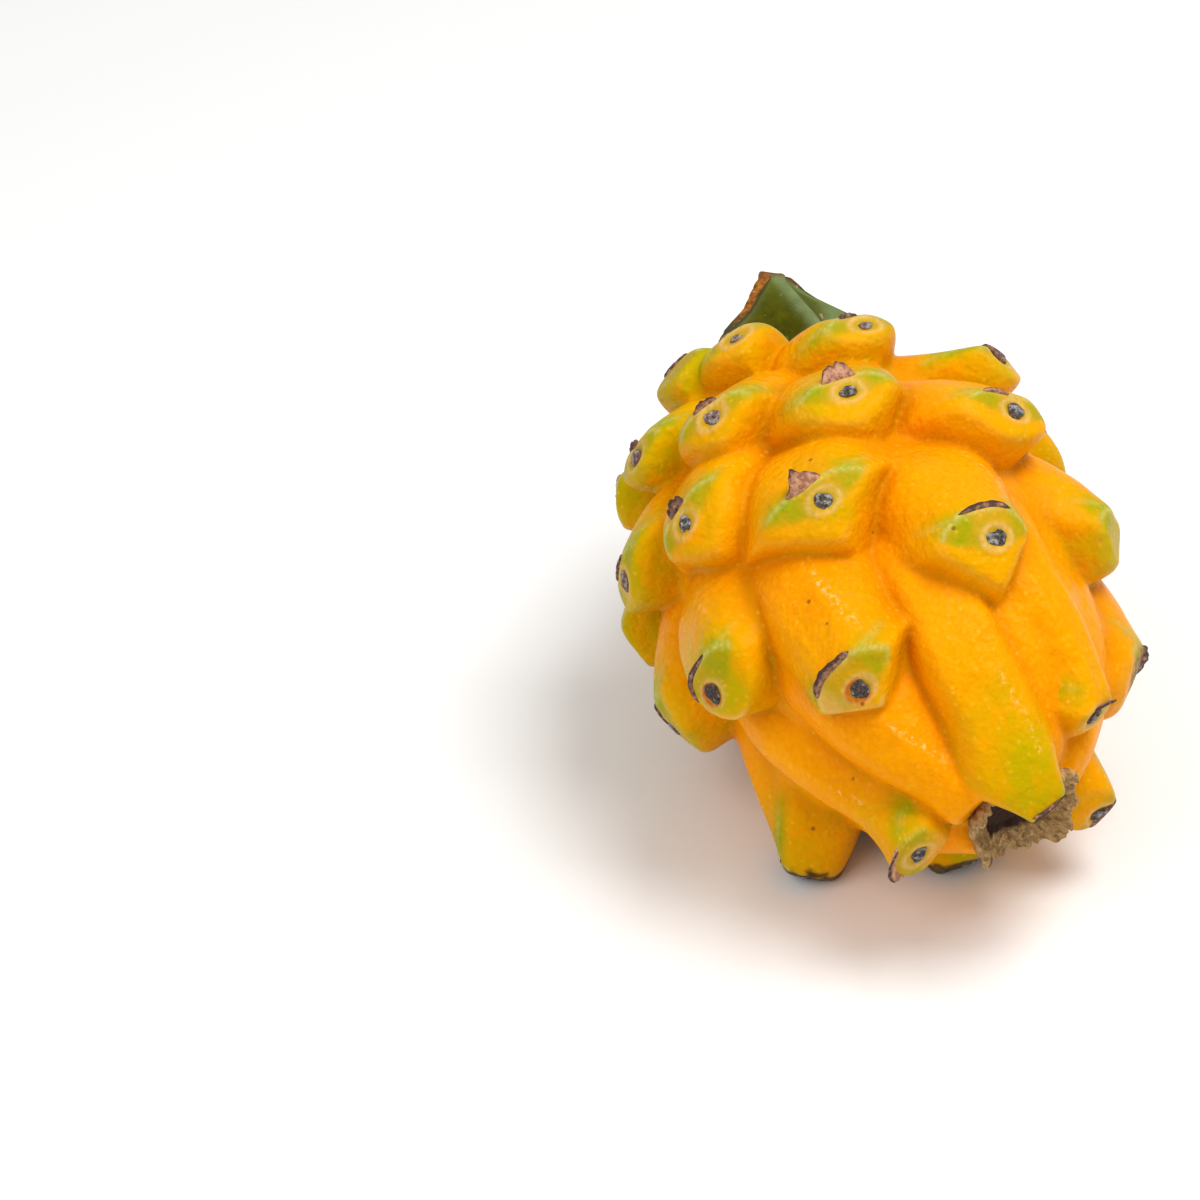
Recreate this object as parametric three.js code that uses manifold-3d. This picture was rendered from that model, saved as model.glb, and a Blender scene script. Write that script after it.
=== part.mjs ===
// Yellow dragon fruit (yellow pitahaya), lying on a surface as picked.
//
// Three pieces: the fruit with its leaf bases, dried leaf scales and areoles, the stub of the
// cactus stem, and the dry collar that the flower left. The leaf bases stand on a golden-angle
// spiral. Millimetres, +Z up. The fruit's axis runs along +X towards the blossom end and dips.
//
// The fruit's own frame, used until the last lines: x along the axis towards the blossom end,
// z up, and an azimuth round the axis, in degrees, from +z towards -y.

import * as THREE from 'three';
import { mergeVertices } from 'three/addons/utils/BufferGeometryUtils.js';
import Module from 'manifold-3d';

// ---- Driving dimensions ----

// The egg that the leaf tips reach.
const TIP_HALF_LENGTH = 47.4;
const TIP_HALF_WIDTH = 37.0;
const TIP_STEM_BLUNTNESS = 2.3;      // exponent of the egg's stem half: over 2 is blunter

// The body under the leaf bases.
const BODY_CENTRE = -4.0;
const BODY_STEM_REACH = 39.5;
const BODY_BLOSSOM_REACH = 45.5;
const BODY_RADIUS = 28.2;

// The spiral of leaf bases. Leaf 0 stands near the middle; the numbers rise to the blossom end.
const SPIRAL_STEP = 137.5;
const LEAF_0_AZIMUTH = 25.3;
const FIRST_LEAF = -27;
const LAST_LEAF = 16;
const LAST_RIDGE = 18;
// Where the tips stand along the axis: [leaf number, x].
const STATIONS = [
  [-30, -45.5], [-26, -42.7], [-21, -36.5], [-18, -32.1], [-13, -23.3], [-8, -13.8], [-5, -8.0],
  [0, 3.4], [3, 12.0], [5, 18.9], [8, 30.5], [10, 38.5], [13, 45.0], [16, 47.0], [18, 47.2],
];
// Leaves that grew out of step: along the axis, round it, outwards, and ridge height as a share.
const OUT_OF_STEP = {
  '-26': [1, -3, 2, 1], '-23': [2.5, -1, 1, 1], '-21': [-1.5, 3, 0, 1], '-18': [1.5, -3, 0, 1],
  '-16': [1, 2, -1.5, 1], '-13': [1.5, 0, 0, 1], '-11': [0, 0, 1, 1], '-10': [1, -3, 0, 1],
  '-8': [1.5, 1.5, 0, 1], '-6': [-1.5, -1.5, 0, 1], '-5': [-1.5, -1.5, 0, 1],
  '-4': [-4, 0, 1.4, 1], '-3': [0.5, -3.5, 0.5, 1], 1: [0, 0, -6, 1], 2: [1, -1.5, -1.3, 1],
  4: [0, 0, 0.7, 1], 6: [2, 10, 3.4, 0.6], 7: [-1, -3, -0.8, 1], 8: [-2, -1, 0.5, 1],
  9: [-1.5, 0, -2.1, 1], 10: [1.5, 0, -0.5, 1], 11: [2, 1, 0, 1], 12: [-3, 0, 2.8, 1],
  13: [1.5, -13, 1, 1], 15: [0, -4, 0, 1], 16: [-2, -10, -1, 1],
};
// The last leaves round the flower scar are only low ridges, of these heights.
const LOW_RIDGES = { 14: 4.0, 15: 2.5, 16: 4.5, 18: 3.0 };

// How a leaf base changes from the stem (0) to the blossom end (1).
const SHARES = [0, 0.3, 0.5, 0.7, 0.9, 1];
const RUN = [9, 12, 14, 20.7, 35.6, 44];          // length of the ridge, from the tip to the stem
const RIDGE = [2.4, 3.2, 4.2, 5.0, 4.8, 4.4];     // height of the ridge behind the knob
const KNOB = [5.5, 7, 8, 9, 12, 14];              // how far back the knob reaches
const RIDGE_WIDTH = [7, 10, 10.5, 9.5, 8.5, 7.5]; // half widths
const KNOB_WIDTH = [5.5, 8.4, 9, 7.4, 5.2, 5];
const NOSE = [4.5, 6, 6.5, 6, 5, 4.5];            // from the areole to the front of the knob
const FACET_TILT = [8, 11.6, 14, 18.8, 34, 50];   // degrees that the facet turns to the blossom
const LEAN = 0.5;                                 // how far the knobs lean to the blossom end
const OVERSHOOT = 1.22;                           // ridge crest over the facet that cuts it
const FACET_BEND = 70;                            // a facet falls off by the square of q over it
const ROLL_REACH = 8;                             // how far from the areole a base is twisted
const WIDEST_TURN = 108;                          // degrees round the body that a base can reach
const FACET_ROUNDING = 0.7;
const CREASE_ROUNDING = 0.5;

// Dried leaf scales, on the crest behind each facet. Leaves that rub against something lost theirs.
const SCALE_WIDTH = 5.6;
const SCALE_HEIGHT = 2.6;
const SCALE_THICKNESS = 1.0;
const SCALE_TIP_THICKNESS = 0.7;
const SCALE_LEAN = 42;               // degrees from straight out towards the stem
const SCALE_CURVE = 1.2;             // how far its sides wrap forwards
const SCALE_ROOT = 1.8;
const BARE_LEAVES = [-12, -9, -4, 1, 4, 6, 9, 13];

// Areoles, in the middle of each facet.
const AREOLE_RADIUS = 1.6;
const AREOLE_HEIGHT = 0.45;
const AREOLE_ROOT = 1.8;
const AREOLE_SIDES = 6;

// The stub of the three-winged cactus stem: its axis, and the side its angles are counted from.
const STEM_AXIS = new THREE.Vector3(-0.81, 0.517, 0.277).normalize();
const STEM_SIDE = new THREE.Vector3(0.446, 0.888, 0.114);
const STEM_LENGTH = 22;
// Each wing's angle, and its reach at these shares of the length.
const STEM_LEVELS = [-0.2, 0, 0.3, 0.52, 0.67, 0.75, 0.82, 0.9, 1];
const STEM_WINGS = [
  { angle: -32, reach: [12, 12, 11, 9.4, 7.9, 6.7, 5.4, 3.4, 1.5] },
  { angle: 42, reach: [14, 15, 16.5, 17, 17, 15.5, 9, 3, 1.2] },
  { angle: 186, reach: [8, 8, 7.2, 5.9, 4.9, 4.4, 3.8, 3.1, 2.2] },
];
const STEM_EDGE = 0.85;              // half thickness of a wing's edge
const STEM_HOLLOW = 0.1;             // how far the faces sink between the wings
const STEM_FACE_STEPS = 6;

// The dry collar of the flower, a torn funnel: [radius, x] from the seat over the rim to the floor.
const SCAR_PROFILE = [
  [5.2, 39], [6.6, 40.4], [7.8, 42.2], [8.8, 44.2], [9.1, 45.4], [8.6, 45.9],
  [7.7, 45.2], [6.6, 43.6], [5.4, 42.2], [4.4, 41.2], [3.2, 40.8],
];
const SCAR_RIM = 5;                  // the row of the profile at the rim
const SCAR_SEAT = 38.6;
const SCAR_FLOOR = 40.6;
const SCAR_SIDES = 40;

// Resting.
const AXIS_DIP = 14.37;              // degrees that the blossom end dips
const AXIS_HEIGHT = 33.7;            // the egg's middle over the surface
const GAP = 0.3;                     // between pieces that meet

// Mesh.
const ROWS = 62;
const COLUMNS = 60;
const CELL_SAMPLES = [-0.33, 0, 0.33];
const PROFILE_STEPS = 1200;

const RAD = Math.PI / 180;

// ---- Small helpers ----

const clamp = (v, low, high) => Math.min(high, Math.max(low, v));
const mix = (a, b, t) => a + (b - a) * t;
const ease = (v) => { const t = clamp(v, 0, 1); return t * t * (3 - 2 * t); };

// Linear interpolation in a rising list of x with values y.
function lerpList(x, xs, ys) {
  if (x <= xs[0]) return ys[0];
  for (let i = 1; i < xs.length; i += 1) {
    if (x <= xs[i]) return mix(ys[i - 1], ys[i], (x - xs[i - 1]) / (xs[i] - xs[i - 1]));
  }
  return ys[ys.length - 1];
}

// The lower and the higher of two values, with the corner rounded over a width r.
function softMin(a, b, r) {
  const h = clamp(0.5 + 0.5 * (b - a) / r, 0, 1);
  return mix(b, a, h) - r * h * (1 - h);
}
const softMax = (a, b, r) => -softMin(-a, -b, r);

// A seeded draw in -1..1, so that every run grows the same fruit.
function draw(seed, turn) {
  const v = Math.sin(seed * 127.1 + turn * 311.7) * 43758.5453;
  return 2 * (v - Math.floor(v)) - 1;
}

// ---- The body ----

// The body's outline: psi runs from -90 degrees at the stem to 90 at the blossom end.
function bodyPoint(psi) {
  const reach = psi < 0 ? BODY_STEM_REACH : BODY_BLOSSOM_REACH;
  return [BODY_CENTRE + reach * Math.sin(psi), BODY_RADIUS * Math.cos(psi)];
}

// The way a leaf base stands out of the body: square to it, then leaned to the blossom end.
function outward(psi) {
  const reach = psi < 0 ? BODY_STEM_REACH : BODY_BLOSSOM_REACH;
  const nx = Math.sin(psi) / reach;
  const nr = Math.cos(psi) / BODY_RADIUS;
  const n = Math.hypot(nx, nr);
  const x = nx / n + LEAN;
  const r = nr / n;
  const d = Math.hypot(x, r);
  return [x / d, r / d];
}

// The outline in small steps, with the length along it.
const outline = [];
for (let i = 0, arc = 0; i <= PROFILE_STEPS; i += 1) {
  const psi = (i / PROFILE_STEPS - 0.5) * Math.PI;
  const [x, r] = bodyPoint(psi);
  const last = outline[i - 1];
  if (last) arc += Math.hypot(x - last.x, r - last.r);
  outline.push({ psi, x, r, arc });
}
const OUTLINE_LENGTH = outline[PROFILE_STEPS].arc;
const ARCS = outline.map((point) => point.arc);
const PSIS = outline.map((point) => point.psi);
const psiAt = (arc) => lerpList(arc, ARCS, PSIS);

// ---- The leaf bases ----

function tipRadius(x) {
  const t = clamp(Math.abs(x) / TIP_HALF_LENGTH, 0, 0.995);
  const n = x < 0 ? TIP_STEM_BLUNTNESS : 2;
  return TIP_HALF_WIDTH * (1 - t ** n) ** (1 / n);
}

// One leaf base: where it stands on the body and its sizes.
function leafBase(number) {
  const [along, round, out, ridgeShare] = OUT_OF_STEP[number] ?? [0, 0, 0, 1];
  const x = lerpList(number, STATIONS.map((s) => s[0]), STATIONS.map((s) => s[1])) + along;
  const r = tipRadius(x) + out;
  // The point of the body whose outward line passes through the tip.
  let foot = outline[0];
  let miss = Infinity;
  for (const point of outline) {
    const [dx, dr] = outward(point.psi);
    const off = Math.abs((x - point.x) * dr - (r - point.r) * dx);
    const ahead = (x - point.x) * dx + (r - point.r) * dr;
    if (ahead > 0 && off < miss) {
      foot = point;
      miss = off;
    }
  }
  const [dx, dr] = outward(foot.psi);
  const share = clamp((x + 42) / 90, 0, 1);
  const low = LOW_RIDGES[number];
  return {
    number,
    arc: foot.arc,
    psi: foot.psi,
    azimuth: LEAF_0_AZIMUTH + number * SPIRAL_STEP + round,
    low: low !== undefined,
    height: low ?? (x - foot.x) * dx + (r - foot.r) * dr,
    run: lerpList(share, SHARES, RUN),
    ridge: lerpList(share, SHARES, RIDGE) * ridgeShare * (1 + 0.12 * draw(number, 4)),
    knob: low ? 20 : lerpList(share, SHARES, KNOB),
    ridgeWidth: lerpList(share, SHARES, RIDGE_WIDTH),
    knobWidth: lerpList(share, SHARES, KNOB_WIDTH) * (1 + 0.07 * draw(number, 1)),
    nose: lerpList(share, SHARES, NOSE) * (1 + 0.1 * draw(number, 2)),
    tilt: Math.tan((lerpList(share, SHARES, FACET_TILT) + 4 * draw(number, 3)) * RAD),
    roll: 0.12 * draw(number, 0) - 0.06,
  };
}

const leaves = [];
for (let number = FIRST_LEAF; number <= LAST_LEAF; number += 1) leaves.push(leafBase(number));
leaves.push(leafBase(LAST_RIDGE));

// How high one leaf base stands at a point of the body: a ridge from the stem side that ends in
// a knob with a steep nose, cut by the facet that the areole sits in.
function leafHeight(leaf, arc, azimuth, radius) {
  let turn = (azimuth - leaf.azimuth) % 360;
  if (turn > 180) turn -= 360;
  if (turn < -180) turn += 360;
  if (Math.abs(turn) > WIDEST_TURN) return 0;
  const p0 = leaf.arc - arc;                       // towards the stem
  const q0 = radius * turn * RAD;                  // across
  const near = leaf.roll * Math.exp(-((p0 / ROLL_REACH) ** 2));
  const p = p0 + near * q0;
  const q = q0 - near * p0;
  const up = clamp(p / leaf.run, 0, 1);
  const width = Math.min(
    mix(leaf.knobWidth, leaf.ridgeWidth, ease(up * 2)), Math.max(0.42 * radius + 0.8, 2.5));
  const back = Math.exp(-((Math.max(p, 0) / leaf.knob) ** 1.5));
  const rise = (OVERSHOOT * leaf.height - leaf.ridge) * back;
  const crest = (leaf.ridge * (1 - up ** 5) + rise) * (1 - up ** 8);
  const t = Math.hypot(q / width, Math.max(-p, 0) / leaf.nose);
  const knobSection = clamp(softMin(1, (1 - t) / (0.45 + 0.25 * ease(up * 2.5)), 0.35), 0, 1);
  const ridgeSection = clamp(1 - clamp(t, 0, 1) ** 2.4, 0, 1) ** 0.62;
  const ridge = crest * mix(knobSection, ridgeSection, ease(up * 2.2));
  if (ridge <= 0) return 0;
  const facet = leaf.height + leaf.tilt * p - q * q / FACET_BEND;
  return softMin(ridge, facet, FACET_ROUNDING);
}

function rindHeight(arc, azimuth, radius) {
  let height = 0;
  for (const leaf of leaves) {
    const one = leafHeight(leaf, arc, azimuth, radius);
    if (one > 0) height = softMax(height, one, Math.min(CREASE_ROUNDING, one));
  }
  return height;
}

// The mean height over one cell of the mesh, so that no knob turns jagged.
function meanHeight(arc, azimuth, radius) {
  let sum = 0;
  for (const a of CELL_SAMPLES) {
    for (const b of CELL_SAMPLES) {
      sum += rindHeight(arc + a * OUTLINE_LENGTH / ROWS, azimuth + b * 360 / COLUMNS, radius);
    }
  }
  return sum / CELL_SAMPLES.length ** 2;
}

// A point of the rind, from its place on the body, with so much added to its height.
function rindPoint(psi, arc, azimuth, extra) {
  const [x, r] = bodyPoint(psi);
  const [dx, dr] = outward(psi);
  const h = meanHeight(arc, azimuth, r) + extra;
  const radius = Math.max(r + h * dr, 0);
  const a = azimuth * RAD;
  return new THREE.Vector3(x + h * dx, -radius * Math.sin(a), radius * Math.cos(a));
}

// ---- Meshes and solids ----

// A closed mesh from rings of points, with a point at each end.
function ringsGeometry(first, rings, last) {
  const count = rings[0].length;
  const points = [first, ...rings.flat(), last];
  const at = (ring, i) => 1 + ring * count + (i % count);
  const end = points.length - 1;
  const index = [];
  for (let i = 0; i < count; i += 1) {
    index.push(0, at(0, i), at(0, i + 1));
    for (let ring = 0; ring + 1 < rings.length; ring += 1) {
      index.push(at(ring, i), at(ring + 1, i), at(ring + 1, i + 1));
      index.push(at(ring, i), at(ring + 1, i + 1), at(ring, i + 1));
    }
    index.push(at(rings.length - 1, i), end, at(rings.length - 1, i + 1));
  }
  const geometry = new THREE.BufferGeometry();
  geometry.setAttribute('position', new THREE.BufferAttribute(
    new Float32Array(points.flatMap((v) => [v.x, v.y, v.z])), 3));
  geometry.setIndex(index);
  return geometry;
}

const wasm = await Module();
wasm.setup();

// A solid of a closed mesh, turned to face out.
function toSolid(geometry) {
  const bare = geometry.clone();
  bare.deleteAttribute('normal');
  bare.deleteAttribute('uv');
  const merged = mergeVertices(bare, 1e-4);
  const vertProperties = new Float32Array(merged.attributes.position.array);
  const triVerts = new Uint32Array(merged.index.array);
  const solid = new wasm.Manifold(new wasm.Mesh({ numProp: 3, vertProperties, triVerts }));
  if (solid.volume() > 0) return solid;
  triVerts.reverse();
  return new wasm.Manifold(new wasm.Mesh({ numProp: 3, vertProperties, triVerts }));
}

// The largest body of a solid, without the pin holes and slivers that joining can leave.
const wholeOf = (solid) => solid.decompose().reduce((a, b) => (a.volume() > b.volume() ? a : b));

function toGeometry(solid) {
  const mesh = wholeOf(solid).getMesh();
  const geometry = new THREE.BufferGeometry();
  geometry.setAttribute('position', new THREE.BufferAttribute(mesh.vertProperties, 3));
  geometry.setIndex(new THREE.BufferAttribute(mesh.triVerts, 1));
  geometry.computeVertexNormals();
  return geometry;
}

// ---- The rind ----

function rindGeometry(extra) {
  const rings = [];
  for (let row = 1; row < ROWS; row += 1) {
    const arc = OUTLINE_LENGTH * row / ROWS;
    const psi = psiAt(arc);
    const ring = [];
    for (let column = 0; column < COLUMNS; column += 1) {
      ring.push(rindPoint(psi, arc, -360 * column / COLUMNS, extra));
    }
    rings.push(ring);
  }
  const first = rindPoint(-Math.PI / 2, 0, 0, extra);
  const last = rindPoint(Math.PI / 2, OUTLINE_LENGTH, 0, extra);
  first.set(first.x, 0, 0);
  last.set(last.x, 0, 0);
  return ringsGeometry(first, rings, last);
}

// ---- Scales and areoles ----

// A point of the rind so far from a leaf's areole towards the stem and across, and the way out.
function nearLeaf(leaf, toStem, across) {
  const arc = leaf.arc - toStem;
  const psi = psiAt(arc);
  const turn = across / bodyPoint(psi)[1] / RAD;
  return rindPoint(psi, arc, leaf.azimuth + turn, 0);
}

// The frame on a knob so far behind its areole.
function frameAt(leaf, back) {
  const step = 0.7;
  const middle = nearLeaf(leaf, back, 0);
  const toStem = nearLeaf(leaf, back + step, 0).sub(nearLeaf(leaf, back - step, 0)).normalize();
  const across = nearLeaf(leaf, back, step).sub(nearLeaf(leaf, back, -step)).normalize();
  const out = new THREE.Vector3().crossVectors(toStem, across).normalize();
  toStem.crossVectors(across, out);
  return { middle, out, toStem, across };
}

// How far behind the areole the crest of the knob stands.
function crestBehind(leaf) {
  let best = 0;
  let highest = 0;
  for (let back = 0; back < 9; back += 0.25) {
    const arc = leaf.arc - back;
    const height = leafHeight(leaf, arc, leaf.azimuth, bodyPoint(psiAt(arc))[1]);
    if (height > highest) {
      highest = height;
      best = back;
    }
  }
  return best;
}

// A dried leaf scale: a small triangular blade, rooted in an arc round the back of the facet.
function scaleGeometry(leaf) {
  const crest = crestBehind(leaf);
  const { out, toStem } = frameAt(leaf, crest);
  const size = 1 + 0.25 * draw(leaf.number, 6);
  const lean = (SCALE_LEAN + 12 * draw(leaf.number, 7)) * RAD;
  const rise = out.clone().multiplyScalar(Math.cos(lean)).addScaledVector(toStem, Math.sin(lean));
  const through = out.clone().multiplyScalar(-Math.sin(lean)).addScaledVector(toStem, Math.cos(lean));
  const top = SCALE_HEIGHT * size;
  const point = (side, height, sign) => {
    const thick = mix(SCALE_THICKNESS, SCALE_TIP_THICKNESS, clamp(height / top, 0, 1));
    return nearLeaf(leaf, crest - SCALE_CURVE * side * side, side * SCALE_WIDTH / 2 * size)
      .addScaledVector(rise, height)
      .addScaledVector(through, sign * thick / 2);
  };
  const edge = [
    [-1, -SCALE_ROOT], [-1, 0.3], [-0.4, 0.6 * top], [0.1, top], [1, 0.3], [1, -SCALE_ROOT],
  ];
  const face = (sign) => edge.map(([side, height]) => point(side, height, sign));
  return ringsGeometry(point(0, 0.2 * top, 1), [face(1), face(-1)], point(0, 0.2 * top, -1));
}

// An areole: a low round cushion with a dimple.
function areoleGeometry(leaf) {
  const { middle, out, toStem } = frameAt(leaf, 0);
  const profile = [
    new THREE.Vector2(0, -AREOLE_ROOT), new THREE.Vector2(AREOLE_RADIUS, AREOLE_HEIGHT),
    new THREE.Vector2(0, 0),
  ];
  const geometry = new THREE.LatheGeometry(profile, AREOLE_SIDES);
  const side = new THREE.Vector3().crossVectors(out, toStem);
  geometry.applyMatrix4(new THREE.Matrix4().makeBasis(side, out, toStem.clone().negate()));
  geometry.translate(middle.x, middle.y, middle.z);
  return geometry;
}

// ---- The stem stub ----

// One section of the stub, as [along its side, square to it]: wing edges joined by hollow faces.
function stemSection(share) {
  const edges = STEM_WINGS.map(({ angle, reach }) => {
    const out = lerpList(share, STEM_LEVELS, reach);
    const half = Math.min(STEM_EDGE, 0.3 + 0.3 * out);
    const [c, s] = [Math.cos(angle * RAD), Math.sin(angle * RAD)];
    return [[c * out + s * half, s * out - c * half], [c * out - s * half, s * out + c * half]];
  });
  const section = [];
  edges.forEach(([before, after], i) => {
    const next = edges[(i + 1) % edges.length][0];
    section.push(before);
    for (let step = 0; step < STEM_FACE_STEPS; step += 1) {
      const t = step / STEM_FACE_STEPS;
      const sink = 1 - 4 * STEM_HOLLOW * t * (1 - t);
      section.push([sink * mix(after[0], next[0], t), sink * mix(after[1], next[1], t)]);
    }
  });
  return section;
}

function stemGeometry() {
  const side = STEM_SIDE.clone().addScaledVector(STEM_AXIS, -STEM_SIDE.dot(STEM_AXIS)).normalize();
  const square = new THREE.Vector3().crossVectors(STEM_AXIS, side);
  const pole = new THREE.Vector3(BODY_CENTRE - BODY_STEM_REACH, 0, 0);
  const at = (share) => pole.clone().addScaledVector(STEM_AXIS, share * STEM_LENGTH);
  const rings = STEM_LEVELS.map((share) => stemSection(share).map(([a, b]) => (
    at(share).addScaledVector(side, a).addScaledVector(square, b))));
  return ringsGeometry(at(STEM_LEVELS[0]), rings, at(1));
}

// ---- The flower scar ----

function scarGeometry() {
  const rings = SCAR_PROFILE.map(([radius, x], row) => {
    const ring = [];
    const torn = Math.exp(-(((row - SCAR_RIM) / 3) ** 2));
    for (let i = 0; i < SCAR_SIDES; i += 1) {
      const a = 2 * Math.PI * i / SCAR_SIDES;
      const lobes = 0.06 * Math.sin(2 * a + 0.6) + 0.05 * Math.sin(5 * a + 1);
      const tears = 0.8 * Math.sin(3 * a + 2.4) + 0.45 * Math.sin(8 * a) + 0.3 * Math.sin(13 * a + 1);
      const r = radius * (1 + (0.3 + 0.7 * torn) * lobes);
      ring.push(new THREE.Vector3(x + torn * tears, -r * Math.sin(a), r * Math.cos(a)));
    }
    return ring;
  });
  return ringsGeometry(
    new THREE.Vector3(SCAR_SEAT, 0, 0), rings, new THREE.Vector3(SCAR_FLOOR, 0, 0));
}

// ---- Assembly ----

const resting = new THREE.Group();
resting.name = 'resting';
resting.rotation.y = AXIS_DIP * RAD;
resting.position.z = AXIS_HEIGHT;
resting.updateMatrix();

// Everything over the surface that the fruit lies on, in the fruit's frame.
const overSurface = new THREE.BoxGeometry(200, 200, 200);
overSurface.translate(0, 0, 100);
overSurface.applyMatrix4(resting.matrix.clone().invert());

let fruitSolid = toSolid(rindGeometry(0));
for (const leaf of leaves.filter((one) => !one.low)) {
  fruitSolid = fruitSolid.add(toSolid(areoleGeometry(leaf)));
  if (!BARE_LEAVES.includes(leaf.number)) fruitSolid = fruitSolid.add(toSolid(scaleGeometry(leaf)));
}
fruitSolid = fruitSolid.intersect(toSolid(overSurface));

const keepOff = toSolid(rindGeometry(GAP));
const stemSolid = toSolid(stemGeometry()).subtract(keepOff);
const scarSolid = toSolid(scarGeometry()).subtract(keepOff);

function mesh(name, solid, color, roughness) {
  const material = new THREE.MeshStandardMaterial({ color, roughness, metalness: 0 });
  const piece = new THREE.Mesh(toGeometry(solid), material);
  piece.name = name;
  return piece;
}

resting.add(mesh('fruit', fruitSolid, 0xf7a400, 0.45));
resting.add(mesh('stem', stemSolid, 0x4a6b1e, 0.6));
resting.add(mesh('flower_scar', scarSolid, 0x9a7a56, 0.9));

// The origin lies on the surface, under the middle of the whole part.
const box = new THREE.Box3().setFromObject(resting, true);
resting.position.x -= (box.min.x + box.max.x) / 2;
resting.position.y -= (box.min.y + box.max.y) / 2;

const dragonFruit = new THREE.Group();
dragonFruit.name = 'dragon_fruit';
dragonFruit.add(resting);

export default dragonFruit;
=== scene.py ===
# %% [markdown]
# # A yellow dragon fruit
#
# A yellow dragon fruit, or yellow pitahaya, is the fruit of a climbing cactus. Its rind is a
# stem grown round the flesh, so it carries the stem's leaves: each is a fleshy knob with a
# slanted facet, and in the facet sits an areole, the woolly cushion that held the spines.
# The fruit is built from the rule that places its leaves. Lengths are in millimetres until
# the last step of each piece turns them into metres.

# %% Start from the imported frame
import math

import bpy
import numpy as np
from mathutils import Matrix, Vector


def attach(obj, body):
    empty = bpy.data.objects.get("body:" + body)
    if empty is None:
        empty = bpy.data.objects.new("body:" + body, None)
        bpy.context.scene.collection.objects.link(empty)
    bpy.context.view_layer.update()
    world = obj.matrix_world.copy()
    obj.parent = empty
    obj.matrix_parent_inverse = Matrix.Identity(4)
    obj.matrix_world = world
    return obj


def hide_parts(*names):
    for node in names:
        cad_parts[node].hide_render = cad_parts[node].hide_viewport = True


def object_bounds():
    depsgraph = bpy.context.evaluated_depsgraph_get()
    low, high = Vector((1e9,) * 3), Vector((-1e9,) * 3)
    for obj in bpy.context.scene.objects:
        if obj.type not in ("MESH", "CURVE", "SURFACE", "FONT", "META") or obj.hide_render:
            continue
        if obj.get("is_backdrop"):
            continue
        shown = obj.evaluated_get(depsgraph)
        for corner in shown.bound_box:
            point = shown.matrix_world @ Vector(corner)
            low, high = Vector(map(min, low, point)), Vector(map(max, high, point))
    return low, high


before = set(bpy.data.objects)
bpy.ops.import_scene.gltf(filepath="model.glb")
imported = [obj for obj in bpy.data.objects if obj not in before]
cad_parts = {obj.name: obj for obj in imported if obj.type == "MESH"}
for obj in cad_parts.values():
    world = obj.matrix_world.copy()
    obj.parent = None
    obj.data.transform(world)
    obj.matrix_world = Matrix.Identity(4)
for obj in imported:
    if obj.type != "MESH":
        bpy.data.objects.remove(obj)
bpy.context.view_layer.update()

# %% [markdown]
# ## Helpers
#
# The shapes are formulas on whole arrays, made of a few small functions: a smooth step, a
# bell, the rounded lower and higher of two surfaces, seeded draws and seeded waves. Leaf
# bases could be modelled one by one, but every joint would need a fillet. The rounded higher
# of two surfaces lets them meet in a soft crease.

# %% Steps, rounded corners and seeded draws
RAD = np.pi / 180


def ease(t):
    """A smooth step: 3 t^2 - 2 t^3 of t held in 0..1."""
    t = np.clip(t, 0, 1)
    return t * t * (3 - 2 * t)


def bell(x, middle, width):
    """1 where x is the middle, falling as exp(-((x - middle) / width)^2)."""
    return np.exp(-(((x - middle) / width) ** 2))


def soft_min(a, b, width):
    """The lower of a and b, with the corner between them rounded over a width."""
    h = np.clip(0.5 + 0.5 * (b - a) / width, 0, 1)
    return b * (1 - h) + a * h - width * h * (1 - h)


def soft_max(a, b, width):
    """The higher of a and b, with the corner rounded over a width."""
    return -soft_min(-a, -b, width)


def unit(v):
    """Vectors brought to length one."""
    return v / np.linalg.norm(v, axis=-1, keepdims=True)


def draw(seed, turn):
    """A repeatable draw in -1..1: the fraction of a large multiple of a sine."""
    v = np.sin(seed * 127.1 + turn * 311.7) * 43758.5453
    return 2 * (v - np.floor(v)) - 1


def waves(points, size, seed):
    """Smooth noise about -1..1: the sum of nine sine waves of about that size in mm, each
    along its own seeded direction and with its own phase."""
    rng = np.random.default_rng(seed)
    total = 0
    for _ in range(9):
        way = rng.normal(size=3)
        way *= 2 * np.pi / size / np.linalg.norm(way) * rng.uniform(0.7, 1.4)
        total = total + np.sin(points @ way + rng.uniform(0, 2 * np.pi))
    return total / 4


print("draws for leaf 5:", [round(float(draw(5, n)), 3) for n in range(3)])

# %% [markdown]
# ## The body and its coordinates
#
# Under the leaves the fruit is an egg: two half ellipses that share a middle. A point of the
# rind is named by its distance along the egg's outline, from the stem pole, and its azimuth
# round the axis. Leaf bases lean towards the blossom end, so points are lifted along a
# leaning direction, not square to the egg, and the noses overhang.

# %% The egg, its outline and the way outwards
BODY_CENTRE, BODY_STEM_REACH, BODY_BLOSSOM_REACH, BODY_RADIUS = -4.0, 39.5, 45.5, 28.2
LEAN = 0.5


def body_point(psi):
    """The egg's outline: along = centre + reach sin(psi), radius = R cos(psi)."""
    reach = np.where(psi < 0, BODY_STEM_REACH, BODY_BLOSSOM_REACH)
    return BODY_CENTRE + reach * np.sin(psi), BODY_RADIUS * np.cos(psi)


def outward(psi):
    """The ellipse's normal, plus LEAN along the axis, brought back to length one."""
    reach = np.where(psi < 0, BODY_STEM_REACH, BODY_BLOSSOM_REACH)
    nx, nr = np.sin(psi) / reach, np.cos(psi) / BODY_RADIUS
    n = np.hypot(nx, nr)
    x, r = nx / n + LEAN, nr / n
    d = np.hypot(x, r)
    return x / d, r / d


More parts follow.
